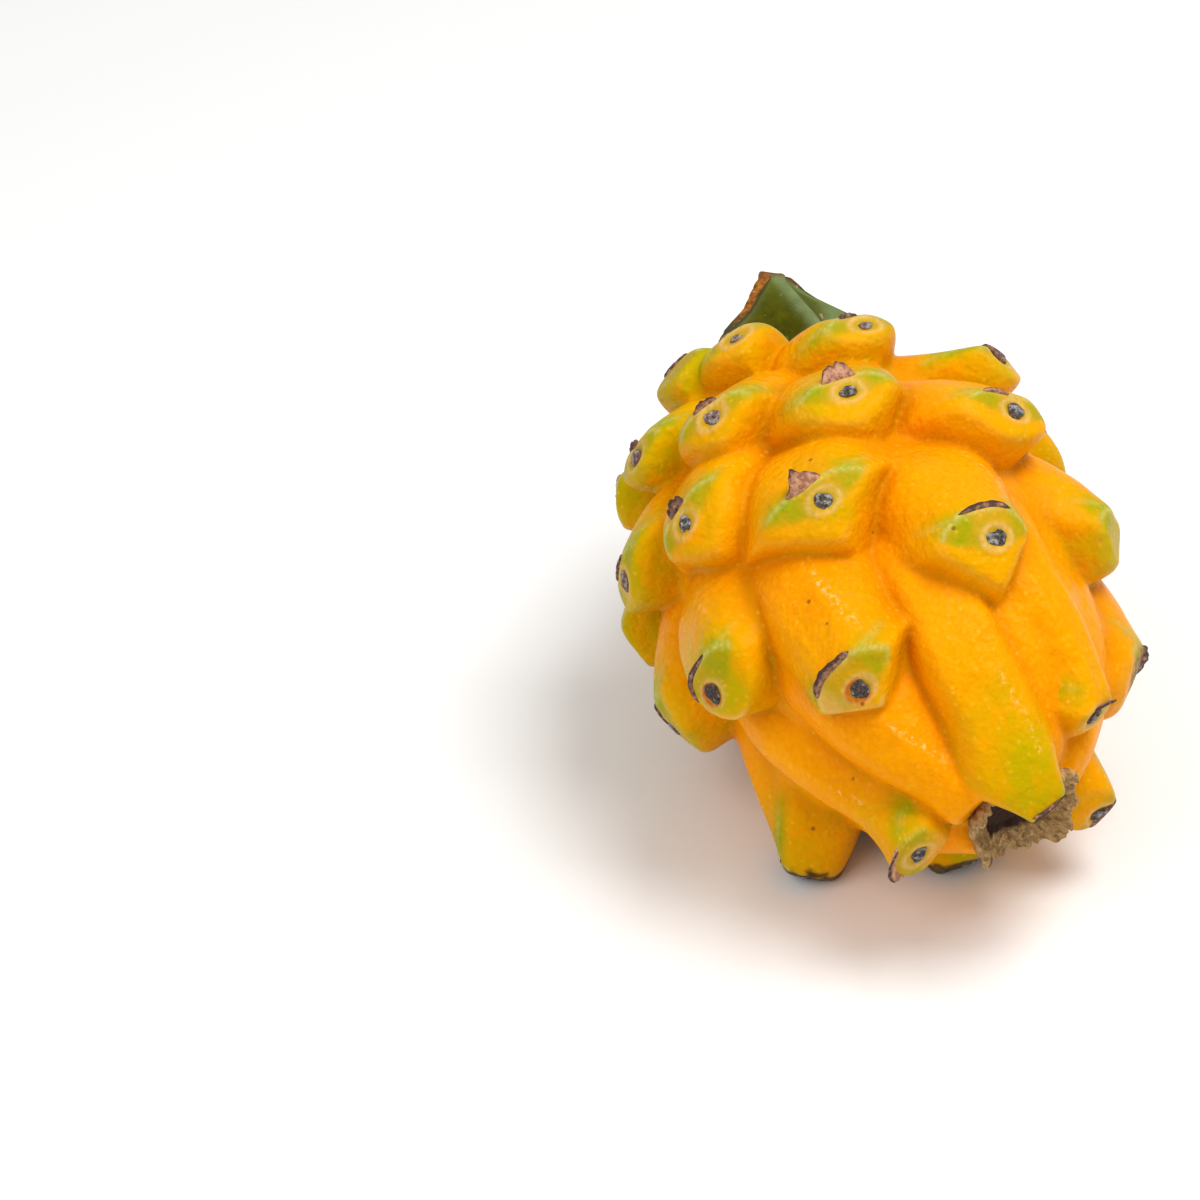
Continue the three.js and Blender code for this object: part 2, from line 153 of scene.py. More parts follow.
PSIS = np.linspace(-np.pi / 2, np.pi / 2, 1201)
OUT_X, OUT_R = body_point(PSIS)
ARCS = np.concatenate([[0], np.cumsum(np.hypot(np.diff(OUT_X), np.diff(OUT_R)))])


def egg_radius(arc):
    """The egg's radius so far along its outline from the stem pole."""
    return BODY_RADIUS * np.cos(np.interp(arc, ARCS, PSIS))


print("length of the egg's outline, mm:", round(float(ARCS[-1]), 1))

# %% [markdown]
# ## Where the leaves stand
#
# Leaves follow each other at the golden angle, 137.5 degrees, so that each grows in the
# widest gap left by the ones before it. Towards the stem they crowd together, and towards the
# blossom end they spread and their bases stretch into long ridges. The rule alone gives too
# even a fruit, and random noise alone would break the spiral. So the rule places the leaves,
# and short tables nudge and reshape single ones, each under its number on the spiral.

# %% The spiral and the leaves that are out of step
SPIRAL_STEP, LEAF_0_AZIMUTH = 137.5, 25.3
LEAF_NUMBERS = [*range(-27, 17), 18]
TIP_HALF_LENGTH, TIP_HALF_WIDTH, TIP_STEM_BLUNTNESS = 47.4, 37.0, 2.3
# leaves and how far along the axis their tips stand
STATION_LEAVES = [-30, -26, -21, -18, -13, -8, -5, 0, 3, 5, 8, 10, 13, 16, 18]
STATIONS = [-45.5, -42.7, -36.5, -32.1, -23.3, -13.8, -8.0, 3.4, 12.0, 18.9, 30.5, 38.5,
            45.0, 47.0, 47.2]
# leaf number: along the axis, degrees round it, outwards, and its ridge's height as a share
OUT_OF_STEP = {
    -24: (0, 0, -5.5, 0.8), -19: (0, 0, -5.5, 0.8), -15: (6.5, 2, 1.5, 1), -2: (0, 7, -0.2, 1),
    -26: (1, -3, 2, 1), -23: (2.5, -1, 1, 1), -21: (-1.5, 3, 0, 1), -18: (1.5, -3, 0, 1),
    -16: (1, 2, -0.7, 1), -13: (1.5, 0, 0, 1), -11: (0, 0, 1, 0.6), -10: (1, -3, 0, 1),
    -8: (1.5, 1.5, 0, 1), -6: (-1.5, -1.5, -1.2, 1), -5: (-1.5, -1.5, 0, 1),
    -4: (-4, 0, 1.4, 1), -3: (0.5, -3.5, 0.5, 1), 1: (0, 0, -6, 1), 2: (2.5, -7, -1.6, 1),
    4: (0, 0, 0.7, 1), 6: (2, 10, 3.4, 0.5), 7: (-1, -3, -1.8, 1), 8: (-2, -1, 0.5, 1),
    9: (-1.5, 0, -2.1, 1), 10: (2.1, 0, -0.5, 1), 11: (2.9, -3, 1.5, 0.65), 12: (-3, 0, 1.3, 0.45),
    13: (4.6, -13, 5.2, 1), 14: (0, 0, 0, 0.3), 15: (0, -4, 0, 0.35), 16: (-2, -10, -1, 1),
}
# the last leaves have no knob: how high their ridges rise
LOW_RIDGES = {14: 2.0, 15: 2.5, 16: 4.5, 18: 3.0}
print(len(LEAF_NUMBERS), "leaf bases,", len(OUT_OF_STEP), "of them out of step")

# %% How a leaf base changes from the stem end (0) to the blossom end (1)
STEM_END, SHARED_LENGTH = -42, 90
SHARES = [0, 0.3, 0.5, 0.7, 0.9, 1]
RUN = [9, 12, 14, 20.7, 35.6, 44]
RIDGE = [2.4, 3.2, 4.4, 5.6, 5.4, 4.8]
KNOB = [5.5, 7, 8, 9, 12, 14]
RIDGE_WIDTH = [7, 11, 12, 10.6, 9.2, 7.8]
KNOB_WIDTH = [5.5, 8.4, 9, 7.4, 5.2, 5]
NOSE = [4.5, 6, 6.5, 6, 5, 4.5]
FACET_TILT = [8, 11.6, 14, 18.8, 34, 50]
OVERSHOOT = [1.2, 1.22, 1.3, 1.48, 1.42, 1.3]
CREST_BACK = [1.8, 2.0, 3.0, 4.4, 4.2, 3.4]
WING_SHARE = 0.88
FOOT = 1.45
print("run of a ridge, mm:", RUN[0], "to", RUN[-1])

# %% Leaf bases with a front of their own
# leaf number: turn of the crest as a slope, how blunt the front is, the knob's width and nose
# as shares, how far its middle stands aside, and where its front begins
OWN_FRONTS = {
    0: (0.03, 1.15, 1.12, 1.85, 1.1, 1.3), -8: (-0.11, 1.5, 0.95, 1.3, 0.3, 0),
    -13: (-0.16, 1.5, 1, 1.15, 0, 0), -5: (0.2, 1.4, 0.93, 1.5, -0.8, 0),
    -3: (-0.15, 1.7, 0.93, 1.05, 0.6, 0), 5: (0, 1.2, 0.95, 1.5, 0.9, 0),
    8: (0.07, 1.15, 1.06, 1.27, -0.2, 1.7), 3: (-0.1, 1.8, 0.8, 1.15, -1.9, 0),
    13: (0.6, 3.5, 1.35, 0.7, -0.2, 0), 11: (0, 1.5, 0.85, 0.85, 0, 0),
    10: (0, 1.4, 0.9, 1, 0, 0), -2: (0, 2.2, 1, 1, 0, 0),
    12: (0, 2.2, 1, 1, 0, 0), 6: (0, 1.6, 0.85, 1, 0.8, 0),
    -11: (0, 1.6, 0.85, 1.1, -0.8, 0), -16: (0, 1.7, 0.87, 1.1, 0.5, 0.3),
    2: (0.1, 1.6, 0.82, 1.05, 0, 0.4), 7: (0, 2.4, 0.9, 1.3, 0, 0.3),
}
# fronts with a pale, sharp edge, and a finger that reaches over the flower scar
SHARP_FRONTS, LONG_FINGERS = [3, 8, 13], [13]
# leaf number: sizes that leaf_base would otherwise work out, under its names for them. In mm:
# blunt, how far the front's upper edge is rounded; knob, how far the knob reaches back;
# crest, how far the crest lies behind the tip; sway, how far the ridge wanders across. As
# shares or slopes: overshoot, how far the crest rises over the facet; tilt and twist, how the
# facet leans and turns aside; square, how square the knob is.
OWN_SIZES = {
    0: dict(blunt=2.2), 2: dict(blunt=3.5), 3: dict(blunt=0.3), 7: dict(blunt=3.5),
    8: dict(blunt=0.3), 14: dict(knob=8), -11: dict(knob=4.2), -16: dict(knob=9.5),
    5: dict(blunt=2.6, overshoot=1.38, crest=3.7), 6: dict(overshoot=1.15, crest=2.5),
    10: dict(overshoot=1.22, crest=3, twist=0.5, sway=8, ridge_width=7.5),
    11: dict(knob=4.5, overshoot=2, crest=3.2, ridge_width=5.5),
    12: dict(blunt=3, knob=6, overshoot=1.2, crest=3),
    13: dict(blunt=0.3, overshoot=1.1, crest=1, tilt=np.tan(64 * RAD), square=1.8, sway=4.2,
             ridge_width=6.8),
}
print(len(OWN_FRONTS), "leaf bases with a front of their own")

# %% Leaves that ripened or wore unlike the rest
WORN_AREOLES = [-26, 2, 7]
DARK_AREOLES = [3, 8]
SMALL_AREOLES = {-8: 0.76, -16: 0.72, -18: 0.85, -21: 0.75, -11: 0.85}
DRIED_FRONTS = [7]
GREENER = [-26, -23, -18, -15, -10, -6, -2, 2, 3, 9, 13]
print(len(GREENER), "leaves are greener,", len(WORN_AREOLES), "have lost their areole")


# %% Size and place of each leaf base
def tip_radius(x):
    """The egg that the tips reach: a superellipse, blunter at the stem end."""
    t = np.clip(abs(x) / TIP_HALF_LENGTH, 0, 0.995)
    n = TIP_STEM_BLUNTNESS if x < 0 else 2
    return TIP_HALF_WIDTH * (1 - t**n) ** (1 / n)


def leaf_base(number):
    """One leaf base: its place on the egg, found by walking back from its tip along the
    leaning direction, and its sizes, read off the lists above at its share of the length,
    times 1 plus seeded draws. OWN_SIZES come last and replace them."""
    along, round_, out, ridge_share = OUT_OF_STEP.get(number, (0, 0, 0, 1))
    x = float(np.interp(number, STATION_LEAVES, STATIONS)) + along
    r = tip_radius(x) + out
    dx, dr = outward(PSIS)
    off = np.abs((x - OUT_X) * dr - (r - OUT_R) * dx)
    ahead = (x - OUT_X) * dx + (r - OUT_R) * dr
    foot = int(np.argmin(np.where(ahead > 0, off, np.inf)))
    share = np.clip((x - STEM_END) / SHARED_LENGTH, 0, 1)
    low = LOW_RIDGES.get(number)
    seeded = (0.12 * draw(number, 0) - 0.06, 1.5 + 0.3 * draw(number, 5), 1, 1.2,
              0.5 * draw(number, 6), 0.4 + 0.4 * draw(number, 7))
    roll, beak, wide, long, middle, start = OWN_FRONTS.get(number, seeded)
    at = lambda values: float(np.interp(share, SHARES, values))
    leaf = dict(
        number=number, arc=ARCS[foot], low=low is not None, share=share,
        azimuth=(LEAF_0_AZIMUTH + number * SPIRAL_STEP + round_) * RAD,
        height=low if low else ahead[foot], run=at(RUN),
        ridge=at(RIDGE) * ridge_share * (1 + 0.12 * draw(number, 4)),
        knob=20 if low else at(KNOB), ridge_width=at(RIDGE_WIDTH), sway=0,
        wing=0 if low or number in LONG_FINGERS else WING_SHARE * ease((1.25 - share) * 3),
        knob_width=at(KNOB_WIDTH) * (1 + 0.07 * draw(number, 1)) * wide,
        nose=at(NOSE) * (1 + 0.1 * draw(number, 2)) * 1.12 * long,
        areole=low is None and number not in LONG_FINGERS + WORN_AREOLES,
        tilt=np.tan((at(FACET_TILT) + 4 * draw(number, 3)) * RAD), twist=0, square=1, blunt=2,
        overshoot=at(OVERSHOOT), crest=at(CREST_BACK),
        roll=roll, beak=beak, middle=middle, start=start)
    return leaf | OWN_SIZES.get(number, {})


def listed(leaves, key):
    """One value of every leaf, as an array."""
    return np.array([leaf[key] for leaf in leaves])


LEAVES = [leaf_base(n) for n in LEAF_NUMBERS]
leaf_0 = LEAVES[LEAF_NUMBERS.index(0)]
print("leaf 0 rises", round(float(leaf_0["height"]), 1), "mm")

# %% [markdown]
# ## The relief of one leaf base
#
# A leaf base is a ridge that swells into a knob and ends in a steep nose. The facet is a
# plane, turned towards the blossom end, that slices the top off. The lower of the two, with a
# rounded corner, is the leaf, and a low wing on each side of the crest widens it. Sculpting
# would give the same forms, but a formula keeps all 45 alike.

# %% Height of one leaf base
def leaf_relief(leaf, arc, azimuth, radius):
    """The leaf's height over the egg, with p running to the stem and q across:
    ridge = crest(p) x section(q), facet = height + tilt p + twist q - q^2/70, and the lower
    wins, or the wing = a bell in q times a bell in p where that is higher.
    Also returns p, q and how far the facet cuts below the ridge."""
    turn = (azimuth - leaf["azimuth"] + np.pi) % (2 * np.pi) - np.pi
    p0, q0 = leaf["arc"] - arc, radius * turn
    near = leaf["roll"] * bell(p0, 0, 8)
    p, q = p0 + near * q0, q0 - near * p0
    q = q - leaf["sway"] * ease((p - 1) / 22)
    up = np.clip(p / leaf["run"], 0, 1)
    width = leaf["knob_width"] + (leaf["ridge_width"] - leaf["knob_width"]) * ease(up * 2)
    width = width * (1 + 0.12 * bell(p, 1.5, 3))
    width = np.minimum(width, np.maximum(0.5 * radius + 0.8, 2.5))
    back = np.exp(-((np.maximum(p, 0) / leaf["knob"]) ** 1.5))
    rise = (leaf["overshoot"] * leaf["height"] - leaf["ridge"]) * back
    crest = (leaf["ridge"] * (1 - up**5) + rise) * (1 - up**8)
    beak = leaf["beak"]
    ahead = leaf["start"] - p
    front = (np.maximum(ahead, 0) / (0.84 * leaf["nose"])) ** beak
    aside = np.abs(q - leaf["middle"] * bell(p, 0, 9)) / width
    t = np.where(ahead > 0, (aside**beak + front) ** (1 / beak), aside) ** leaf["square"]
    steep = ease(ahead / 3)
    knob = ease((FOOT - 0.1 * steep - t) / (FOOT - 0.28 + 0.2 * ease(up * 2.5) - 0.17 * steep))
    ridge_section = ease((1.2 - t) / 0.98) ** 0.75
    blend = ease(up * 2.2)
    ridge = crest * (knob * (1 - blend) + ridge_section * blend)
    facet = leaf["height"] + leaf["tilt"] * p + leaf["twist"] * q - q * q / 70
    rounded = np.maximum(leaf["blunt"] * ease(-p / 3), 1.3 * ease((np.abs(q) - 2) / 3))
    top = soft_min(ridge, facet, 0.6 + rounded)
    if leaf["wing"]:
        off = np.where(p > leaf["crest"], (p - leaf["crest"]) / 4.2, (leaf["crest"] - p) / 4.4)
        spread = np.exp(-((np.abs(q) / leaf["knob_width"]) ** 2.4) - off**1.3)
        top = soft_max(top, leaf["wing"] * leaf["height"] * spread, 0.8)
    alive = (top > 0.02) & (np.abs(turn) < 108 * RAD)
    return np.where(alive, top, 0), p, q, np.where(alive, ridge - facet, -9)


relief_0 = leaf_relief(leaf_0, leaf_0["arc"], leaf_0["azimuth"], BODY_RADIUS)[0]
print("leaf 0 at its areole, mm:", np.round(relief_0, 1))

# %% All leaf bases together
CREASE, SCAR_SINK = 2.0, 5.0


def rind_field(arc, azimuth):
    """All leaf bases: the higher surface wins, with creases rounded over CREASE, and all but
    the long finger sink away SCAR_SINK before the blossom pole. Also returns, from the leaf
    that wins, its place in the list, p, q and the facet's cut."""
    radius = egg_radius(arc)
    height = np.zeros(np.broadcast(arc, azimuth).shape)
    best = np.zeros_like(height)
    owner = np.zeros_like(height)
    p_own, q_own, cut_own = (np.full_like(height, far) for far in (60, 60, -9))
    for i, leaf in enumerate(LEAVES):
        one, p, q, cut = leaf_relief(leaf, arc, azimuth, radius)
        if leaf["number"] not in LONG_FINGERS:
            one = one * ease((ARCS[-1] - arc - SCAR_SINK) / 3)
        wins = one > best
        best = np.where(wins, one, best)
        owner, p_own = np.where(wins, i, owner), np.where(wins, p, p_own)
        q_own, cut_own = np.where(wins, q, q_own), np.where(wins, cut, cut_own)
        height = np.where(one > 0, soft_max(height, one, np.clip(one, 0.01, CREASE)), height)
    return dict(height=height, owner=owner.astype(int), p=p_own, q=q_own, cut=cut_own)


def lifted(arc, azimuth, height):
    """A point of the egg lifted by a height along the leaning direction, in the fruit's own
    frame: x along the axis to the blossom end, z up, azimuth from +z towards -y."""
    psi = np.interp(arc, ARCS, PSIS)
    (x, r), (dx, dr) = body_point(psi), outward(psi)
    radius = np.maximum(r + height * dr, 0)
    return np.stack(np.broadcast_arrays(
        x + height * dx, -radius * np.sin(azimuth), radius * np.cos(azimuth)), -1)


# %% [markdown]
# ## Lying on the table
#
# The fruit's own frame has its axis level. The real one lies with the blossom end dipped, on
# four leaf tips that are pressed a little flat. The objects could be turned instead, but then
# the noise in the finishes would turn too. So the last step of every piece turns its points,
# flattens the rind where it would sink into the table, and lifts small dry parts clear of it.

# %% From the fruit's own frame to the table
AXIS_DIP = 14.37 * RAD
FRUIT_CENTRE = np.array([5.488, 0.029, 33.7])
# in metres: how far a flat's edge is rounded, and how far the rind and dry parts stay clear
FLAT_EDGE, RIND_GAP, DRY_GAP = 0.0004, 0.00002, 0.0002


def on_table(points):
    """Turns points about the y axis by the dip, moves them to their place and gives metres."""
    x, y, z = np.moveaxis(points, -1, 0)
    c, s = np.cos(AXIS_DIP), np.sin(AXIS_DIP)
    moved = np.stack([x * c + z * s, y, z * c - x * s], -1) + FRUIT_CENTRE
    return moved / 1000


def pressed(points):
    """Holds points, in metres, above the table, with the edge of each flat rounded."""
    points[..., 2] = soft_max(points[..., 2], RIND_GAP, FLAT_EDGE)
    return points


def held_up(points):
    """Lifts each piece of a stack, in metres, by just enough to clear the table."""
    points[..., 2] += np.maximum(DRY_GAP - points[..., 2].min(-1, keepdims=True), 0)
    return points


print("dip of the axis, degrees:", round(AXIS_DIP / RAD, 2))


# %% Put arrays into a mesh
def ring_faces(rows, columns):
    """Faces of rings of points closed round, with a point at each end: 0, then the rings one
    after another, then the last point."""
    i, j = np.arange(rows - 1)[:, None], np.arange(columns)[None, :]
    k = (j + 1) % columns
    quads = np.stack([1 + i * columns + j, 1 + i * columns + k,
                      1 + (i + 1) * columns + k, 1 + (i + 1) * columns + j], -1).reshape(-1, 4)
    j, k = j[0], k[0]
    last, foot = 1 + rows * columns, 1 + (rows - 1) * columns
    first = np.stack([np.zeros_like(j), 1 + k, 1 + j], -1)
    end = np.stack([np.full_like(j, last), foot + j, foot + k], -1)
    return [*first.tolist(), *quads.tolist(), *end.tolist()]


def with_ends(first, rings, last):
    """One list of points: the first, the rings and the last, or such a list for each piece."""
    shape = (*first.shape[:-1], -1, 3)
    return np.concatenate([first[..., None, :], rings.reshape(shape), last[..., None, :]], -2)


def copies(faces, pieces, count):
    """The faces of a stack of like pieces with so many points each."""
    return [[v + n * count for v in face] for n in range(pieces) for face in faces]


def make_piece(name, points, faces, attributes):
    """A smooth mesh object from an array of points in metres, with named values per point."""
    mesh = bpy.data.meshes.new(name)
    mesh.from_pydata(points.reshape(-1, 3).tolist(), [], faces)
    for key, values in attributes.items():
        layer = mesh.attributes.new(key, "FLOAT", "POINT")
        layer.data.foreach_set("value", np.ascontiguousarray(values, np.float32).ravel())
    mesh.polygons.foreach_set("use_smooth", np.ones(len(mesh.polygons), bool))
    mesh.update()
    piece = bpy.data.objects.new(name, mesh)
    bpy.context.scene.collection.objects.link(piece)
    size = np.ptp(points.reshape(-1, 3), axis=0) * 1000
    print(f"{name}: {len(mesh.polygons)} faces, {np.round(size, 1)} mm")
    return piece


print("faces of 3 rings of 8 points:", len(ring_faces(3, 8)))

# %% [markdown]
# ## The rind
#
# The rind is the skin that carries everything else. A sphere could be displaced by modifiers,
# but one grid of rings lets every formula above work on whole arrays. It has 310 rings of 320
# points, so a face is about half a millimetre wide, small enough for the dimple of an areole.

# %% Shape of the rind
ROWS, COLUMNS = 310, 320
HOLLOW_DEPTH = 2.4
arc_grid = ARCS[-1] * (np.arange(ROWS)[:, None] + 1) / (ROWS + 1)
azimuth_grid = 2 * np.pi * np.arange(COLUMNS)[None, :] / COLUMNS
field = rind_field(arc_grid, azimuth_grid)
p, q = field["p"], field["q"]
own = lambda key: listed(LEAVES, key).astype(float)[field["owner"]]
among = lambda numbers: np.isin(own("number"), numbers)
distance = np.hypot(p, q)
has_areole, has_facet = own("areole"), 1 - own("low")


def areole_relief(distance):
    """A raised ring 2 mm from the middle of the areole and a dimple inside it."""
    return 0.22 * bell(distance, 1.95, 0.45) - 0.3 * bell(distance, 0, 1.4)


def swell(points):
    """Uneven growth: waves of 14 mm and 6 mm, a few tenths of a millimetre high."""
    return 0.28 * waves(points, 14, 1) + 0.10 * waves(points, 6, 2)


plain = lifted(arc_grid, azimuth_grid, field["height"])
# the swelling fades out at both poles, and the flower scar sits in a hollow
to_pole = ARCS[-1] - arc_grid
ends = np.minimum(1, np.minimum(arc_grid, to_pole) / 8)
hollow = HOLLOW_DEPTH * ease((6.5 - to_pole) / 4) * ease(1 - field["height"] / 1.5)
height_grid = field["height"] + swell(plain) * ends
height_grid = height_grid + areole_relief(distance) * has_areole - hollow
rind_rings = lifted(arc_grid, azimuth_grid, height_grid)
poles = lifted(np.array([0, ARCS[-1]]), np.zeros(2), height_grid[[0, -1], 0])
poles[:, 1:] = 0
rind_points = with_ends(poles[0], rind_rings, poles[1])
print("rind heights, mm:", round(float(height_grid.min()), 2), round(float(height_grid.max()), 2))


# %% [markdown]
# ### What the paint needs to know
#
# Colour follows form: the valleys and creases get painted shade, the ridge tops a painted
# highlight, crests and facets stay green, and the tips near the table turn dark brown. Painting
# by hand would do, but values worked out from the same p, q and heights stay true when a number
# above changes. Each is stored at the mesh's points, between 0 and 1.

# %% Valleys, crowns and facets
def blurred(values, passes):
    """The mean of each point and its neighbours on the grid, taken so many times."""
    for _ in range(passes):
        rows = np.concatenate([values[:1], values, values[-1:]])
        values = (rows[:-2] + 2 * rows[1:-1] + rows[2:]) / 4
        values = (np.roll(values, 1, 1) + 2 * values + np.roll(values, -1, 1)) / 4
    return values


depth = blurred(height_grid, 30) - height_grid
# valley: where the rind lies below its neighbours; the finish paints shade there
valley = np.clip(depth / 1.6, 0, 1)
# crown: where the rind rises over its neighbours; the finish paints a highlight there
crown = np.clip(-depth / 1.8, 0, 1)
# crease: thin lines along the creases, where the finish paints dark shade
crease = np.clip((blurred(height_grid, 5) - height_grid - 0.05) / 0.28, 0, 1)
# a facet is a lens: where its plane cuts the ridge, behind the curved front edge
lens = ease(0.5 + (field["cut"] + 0.25) / 0.9) * ease((p + 2.3 - 0.075 * q * q) / 1.8)
lens = lens * has_facet * ease((11 - distance) / 3)
facet = lens * (1 - 0.3 * ease((-1 - p) / 4))
print("share of the rind on facets:", round(float(lens.mean()), 3))

# %% Green along the crests and on the tips
side_way = np.abs(q)
# green on both sides of the areole, on the crest and in the facet's rear corners
crest = bell(p, own("crest") - 0.4, 1.7)
green = crest * ease((side_way - 1.4) / 2) * ease((9 - side_way) / 4.5) * has_facet
green = np.maximum(green, 0.75 * lens * ease((side_way - 1.4) / 2.2) * ease((p + 1.4) / 2))
# a painted highlight along the facet's upper edge, and a greenish tint round the whole tip
highlight_line = 0.45 * bell(p, own("crest"), 0.5) * ease((side_way - 2.5) / 2)
highlight_line = highlight_line * ease((9 - side_way) / 4) * ease(1 - 3 * valley)
upper = np.maximum(highlight_line, lens * bell(field["cut"], 0.3, 0.5) * (p > 0)) * has_facet
behind = 1 + 0.4 * own("share") + 0.8 * among(LONG_FINGERS)
tip = bell(np.hypot(p / np.where(p > 0, behind, 1), q), 0, 7.4) * has_facet
tip = tip * (1 - 0.25 * among(LONG_FINGERS) * ease((q + 1) / 3))
unripe = np.clip(0.45 + 0.55 * (1 - own("share")) + 0.25 * draw(own("number"), 31), 0, 1)
unripe = np.where(among(GREENER), 1.5, unripe)
print("share of the rind with green crests:", round(float(green.mean()), 3))

# %% Rings, scorched spots, pale front edges, painted glint streaks and dark tips
halo = bell(distance, 1.82, 0.32) * has_areole
scorched = bell(distance, 1.5, 0.32) * among(DARK_AREOLES) * ease((q + 1.4) / 1.6)
# the facet's lower edge, and one whole side of the sharp fronts, are cream
front_edge = bell(field["cut"], 0.2, 0.8) * ease((1.6 - p) / 1.5) * ease((q + 2) / 2)
front_edge = front_edge * (among(SHARP_FRONTS) + 0.1) * has_facet * ease((10 - distance) / 3)
cream = lens * ease((q - 1.6) / 2) * among(SHARP_FRONTS)
front_edge = np.maximum(np.clip(front_edge, 0, 1), 0.6 * cream)
green = green * (1 - 0.9 * cream)
tip, green = tip * unripe, green * np.clip(unripe + 0.35, 0, 1)
# pale dots along one shoulder of each ridge are painted glints
shoulder = np.abs(q / np.maximum(own("ridge_width"), 1) + 0.4 - 0.012 * (p - 10))
glint_streak = bell(shoulder, 0, 0.035) * ease((p - 5) / 3) * ease((20 - p) / 6)
glint_streak = glint_streak * ease(1 - 4 * valley)
# tips near the table are dark brown up to a ragged line
above_table = on_table(rind_rings)[..., 2] * 1000
dry = 2.8 + 1.5 * ease((1 - q) / 3) + 0.9 * waves(rind_rings, 3, 21)
dry = ease((dry - above_table) / 0.7) * has_facet
dried = lens * among(DRIED_FRONTS) * ease((4 - np.abs(q - 0.5)) / 2)
dry = np.maximum(dry, 0.9 * dried * ease(0.9 + waves(rind_rings, 1.6, 22)))
print("share of the rind that dried up:", round(float(dry.mean()), 3))


# %% The rind's mesh
def with_poles(values):
    """The grid's values with one more for each pole."""
    return np.concatenate([[values[0].mean()], values.ravel(), [values[-1].mean()]])


painted = dict(
    valley=valley, crown=crown, crease=crease, facet=facet, upper=upper, green=green, tip=tip,
    halo=halo, scorched=scorched, dry=dry, front=front_edge, glint_streak=glint_streak)
rind = make_piece("rind", pressed(on_table(rind_points)), ring_faces(ROWS, COLUMNS),
                  {key: with_poles(values) for key, values in painted.items()})

# %% [markdown]
# ## Areoles
#
# An areole is a cushion of short dark wool with a few cut spines in it, sunk in a pale corky
# ring. Hair particles would be truer close up, but at this size a lumpy dome looks the same.
# Each dome is laid over the rind's own surface, turned with it, and closed underneath.

# %% The rind's point and directions at a leaf
FACETED = [leaf for leaf in LEAVES if not leaf["low"]]
CUSHIONED = [leaf for leaf in FACETED if leaf["areole"]]


def local_frames(leaves, back=0.0, across=0.0):
    """For each leaf, the rind's point so far behind its areole and across, with the unit
    ways out, to the stem and across, from differences of the rind's formula."""
    arc = listed(leaves, "arc") - back
    radius = egg_radius(arc)
    azimuth = listed(leaves, "azimuth") + across / radius

    def at(da, dq):
        """The rind's point so far along and across from the chosen one."""
        a, z = arc + da, azimuth + dq / radius
        return lifted(a, z, rind_field(a, z)["height"])

    middle = at(0, 0)
    to_stem, side = at(-0.7, 0) - at(0.7, 0), at(0, 0.7) - at(0, -0.7)
    out, side = unit(np.cross(to_stem, side)), unit(side)
    return middle, out, np.cross(side, out), side


print(len(FACETED), "leaves with a facet,", len(CUSHIONED), "of them with an areole")

# %% Areole cushions
AREOLE_RADIUS, AREOLE_ROWS, AREOLE_COLUMNS = 1.5, 9, 26
AREOLE_HEIGHT, AREOLE_CROWN, AREOLE_ROOT = 0.4, 0.33, 0.9


def areole_cushions():
    """Every cushion is rings of radius rho: middle + rho (cos, sin) in the facet's plane,
    lifted by height sqrt(1 - rho^2) and lumps, with a wavy edge, and closed underneath.
    Also returns rho, the pale flecks and how purple it is."""
    middle, out, to_stem, side = local_frames(CUSHIONED)
    numbers, shares = (listed(CUSHIONED, key)[:, None, None] for key in ("number", "share"))
    rho = np.append(np.linspace(0.1, 1, AREOLE_ROWS), 0.6)[None, :, None]
    angle = 2 * np.pi * np.arange(AREOLE_COLUMNS)[None, None, :] / AREOLE_COLUMNS
    oval = 0.05 + 0.12 * draw(numbers, 9)
    size = np.array([SMALL_AREOLES.get(leaf["number"], 1) for leaf in CUSHIONED])[:, None, None]
    reach = AREOLE_RADIUS * size * (1 + 0.1 * draw(numbers, 8)) * (
        1 + 0.10 * np.sin(2 * angle + numbers) + 0.07 * np.sin(3 * angle + 2 * numbers)
        + 0.05 * np.sin(5 * angle + 3 * numbers))
    u, v = rho * reach * np.cos(angle) * (1 - oval), rho * reach * np.sin(angle) * (1 + oval)
    flat = middle[:, None, None] + u[..., None] * to_stem[:, None, None]
    flat = flat + v[..., None] * side[:, None, None]
    spots = waves(flat, 1.3, 11)
    lift = AREOLE_HEIGHT * np.sqrt(np.clip(1 - rho**2, 0, 1)) - 0.12
    lift = lift + (0.16 * spots + 0.07 * waves(flat, 0.6, 12)) * ease((1.02 - rho) * 4)
    lift[:, -1] = -AREOLE_ROOT
    rings = flat + lift[..., None] * out[:, None, None]
    count = len(CUSHIONED)
    points = with_ends(middle + AREOLE_CROWN * out, rings, middle - AREOLE_ROOT * out)
    whole = lambda values, first: np.concatenate(
        [np.full((count, 1), first), np.broadcast_to(values, u.shape).reshape(count, -1),
         np.ones((count, 1))], 1)
    tone = 1.0 * (shares < 0.3)
    flecks = spots - 0.6 * np.isin(numbers, DARK_AREOLES)
    return points, whole(rho, 0.0), whole(flecks, -0.3), whole(tone, 0.5)


cushions, cushion_rim, cushion_spots, cushion_tone = areole_cushions()
areoles = make_piece(
    "areoles", held_up(on_table(cushions)),
    copies(ring_faces(AREOLE_ROWS + 1, AREOLE_COLUMNS), *cushions.shape[:2]),
    {"rim": cushion_rim, "spots": cushion_spots, "tone": cushion_tone})

# %% [markdown]
# ## Dried leaf scales
#
# The blade of each leaf has dried to a scale that stands on the crest behind the facet.
# Some are broad papery triangles, some only a brown edge, some a broken stub. Flat cards with
# a picture would do from afar, but they have no thickness. So a scale is a thin closed sheet:
# a root curve that follows the crest, raised along a direction that curls back.

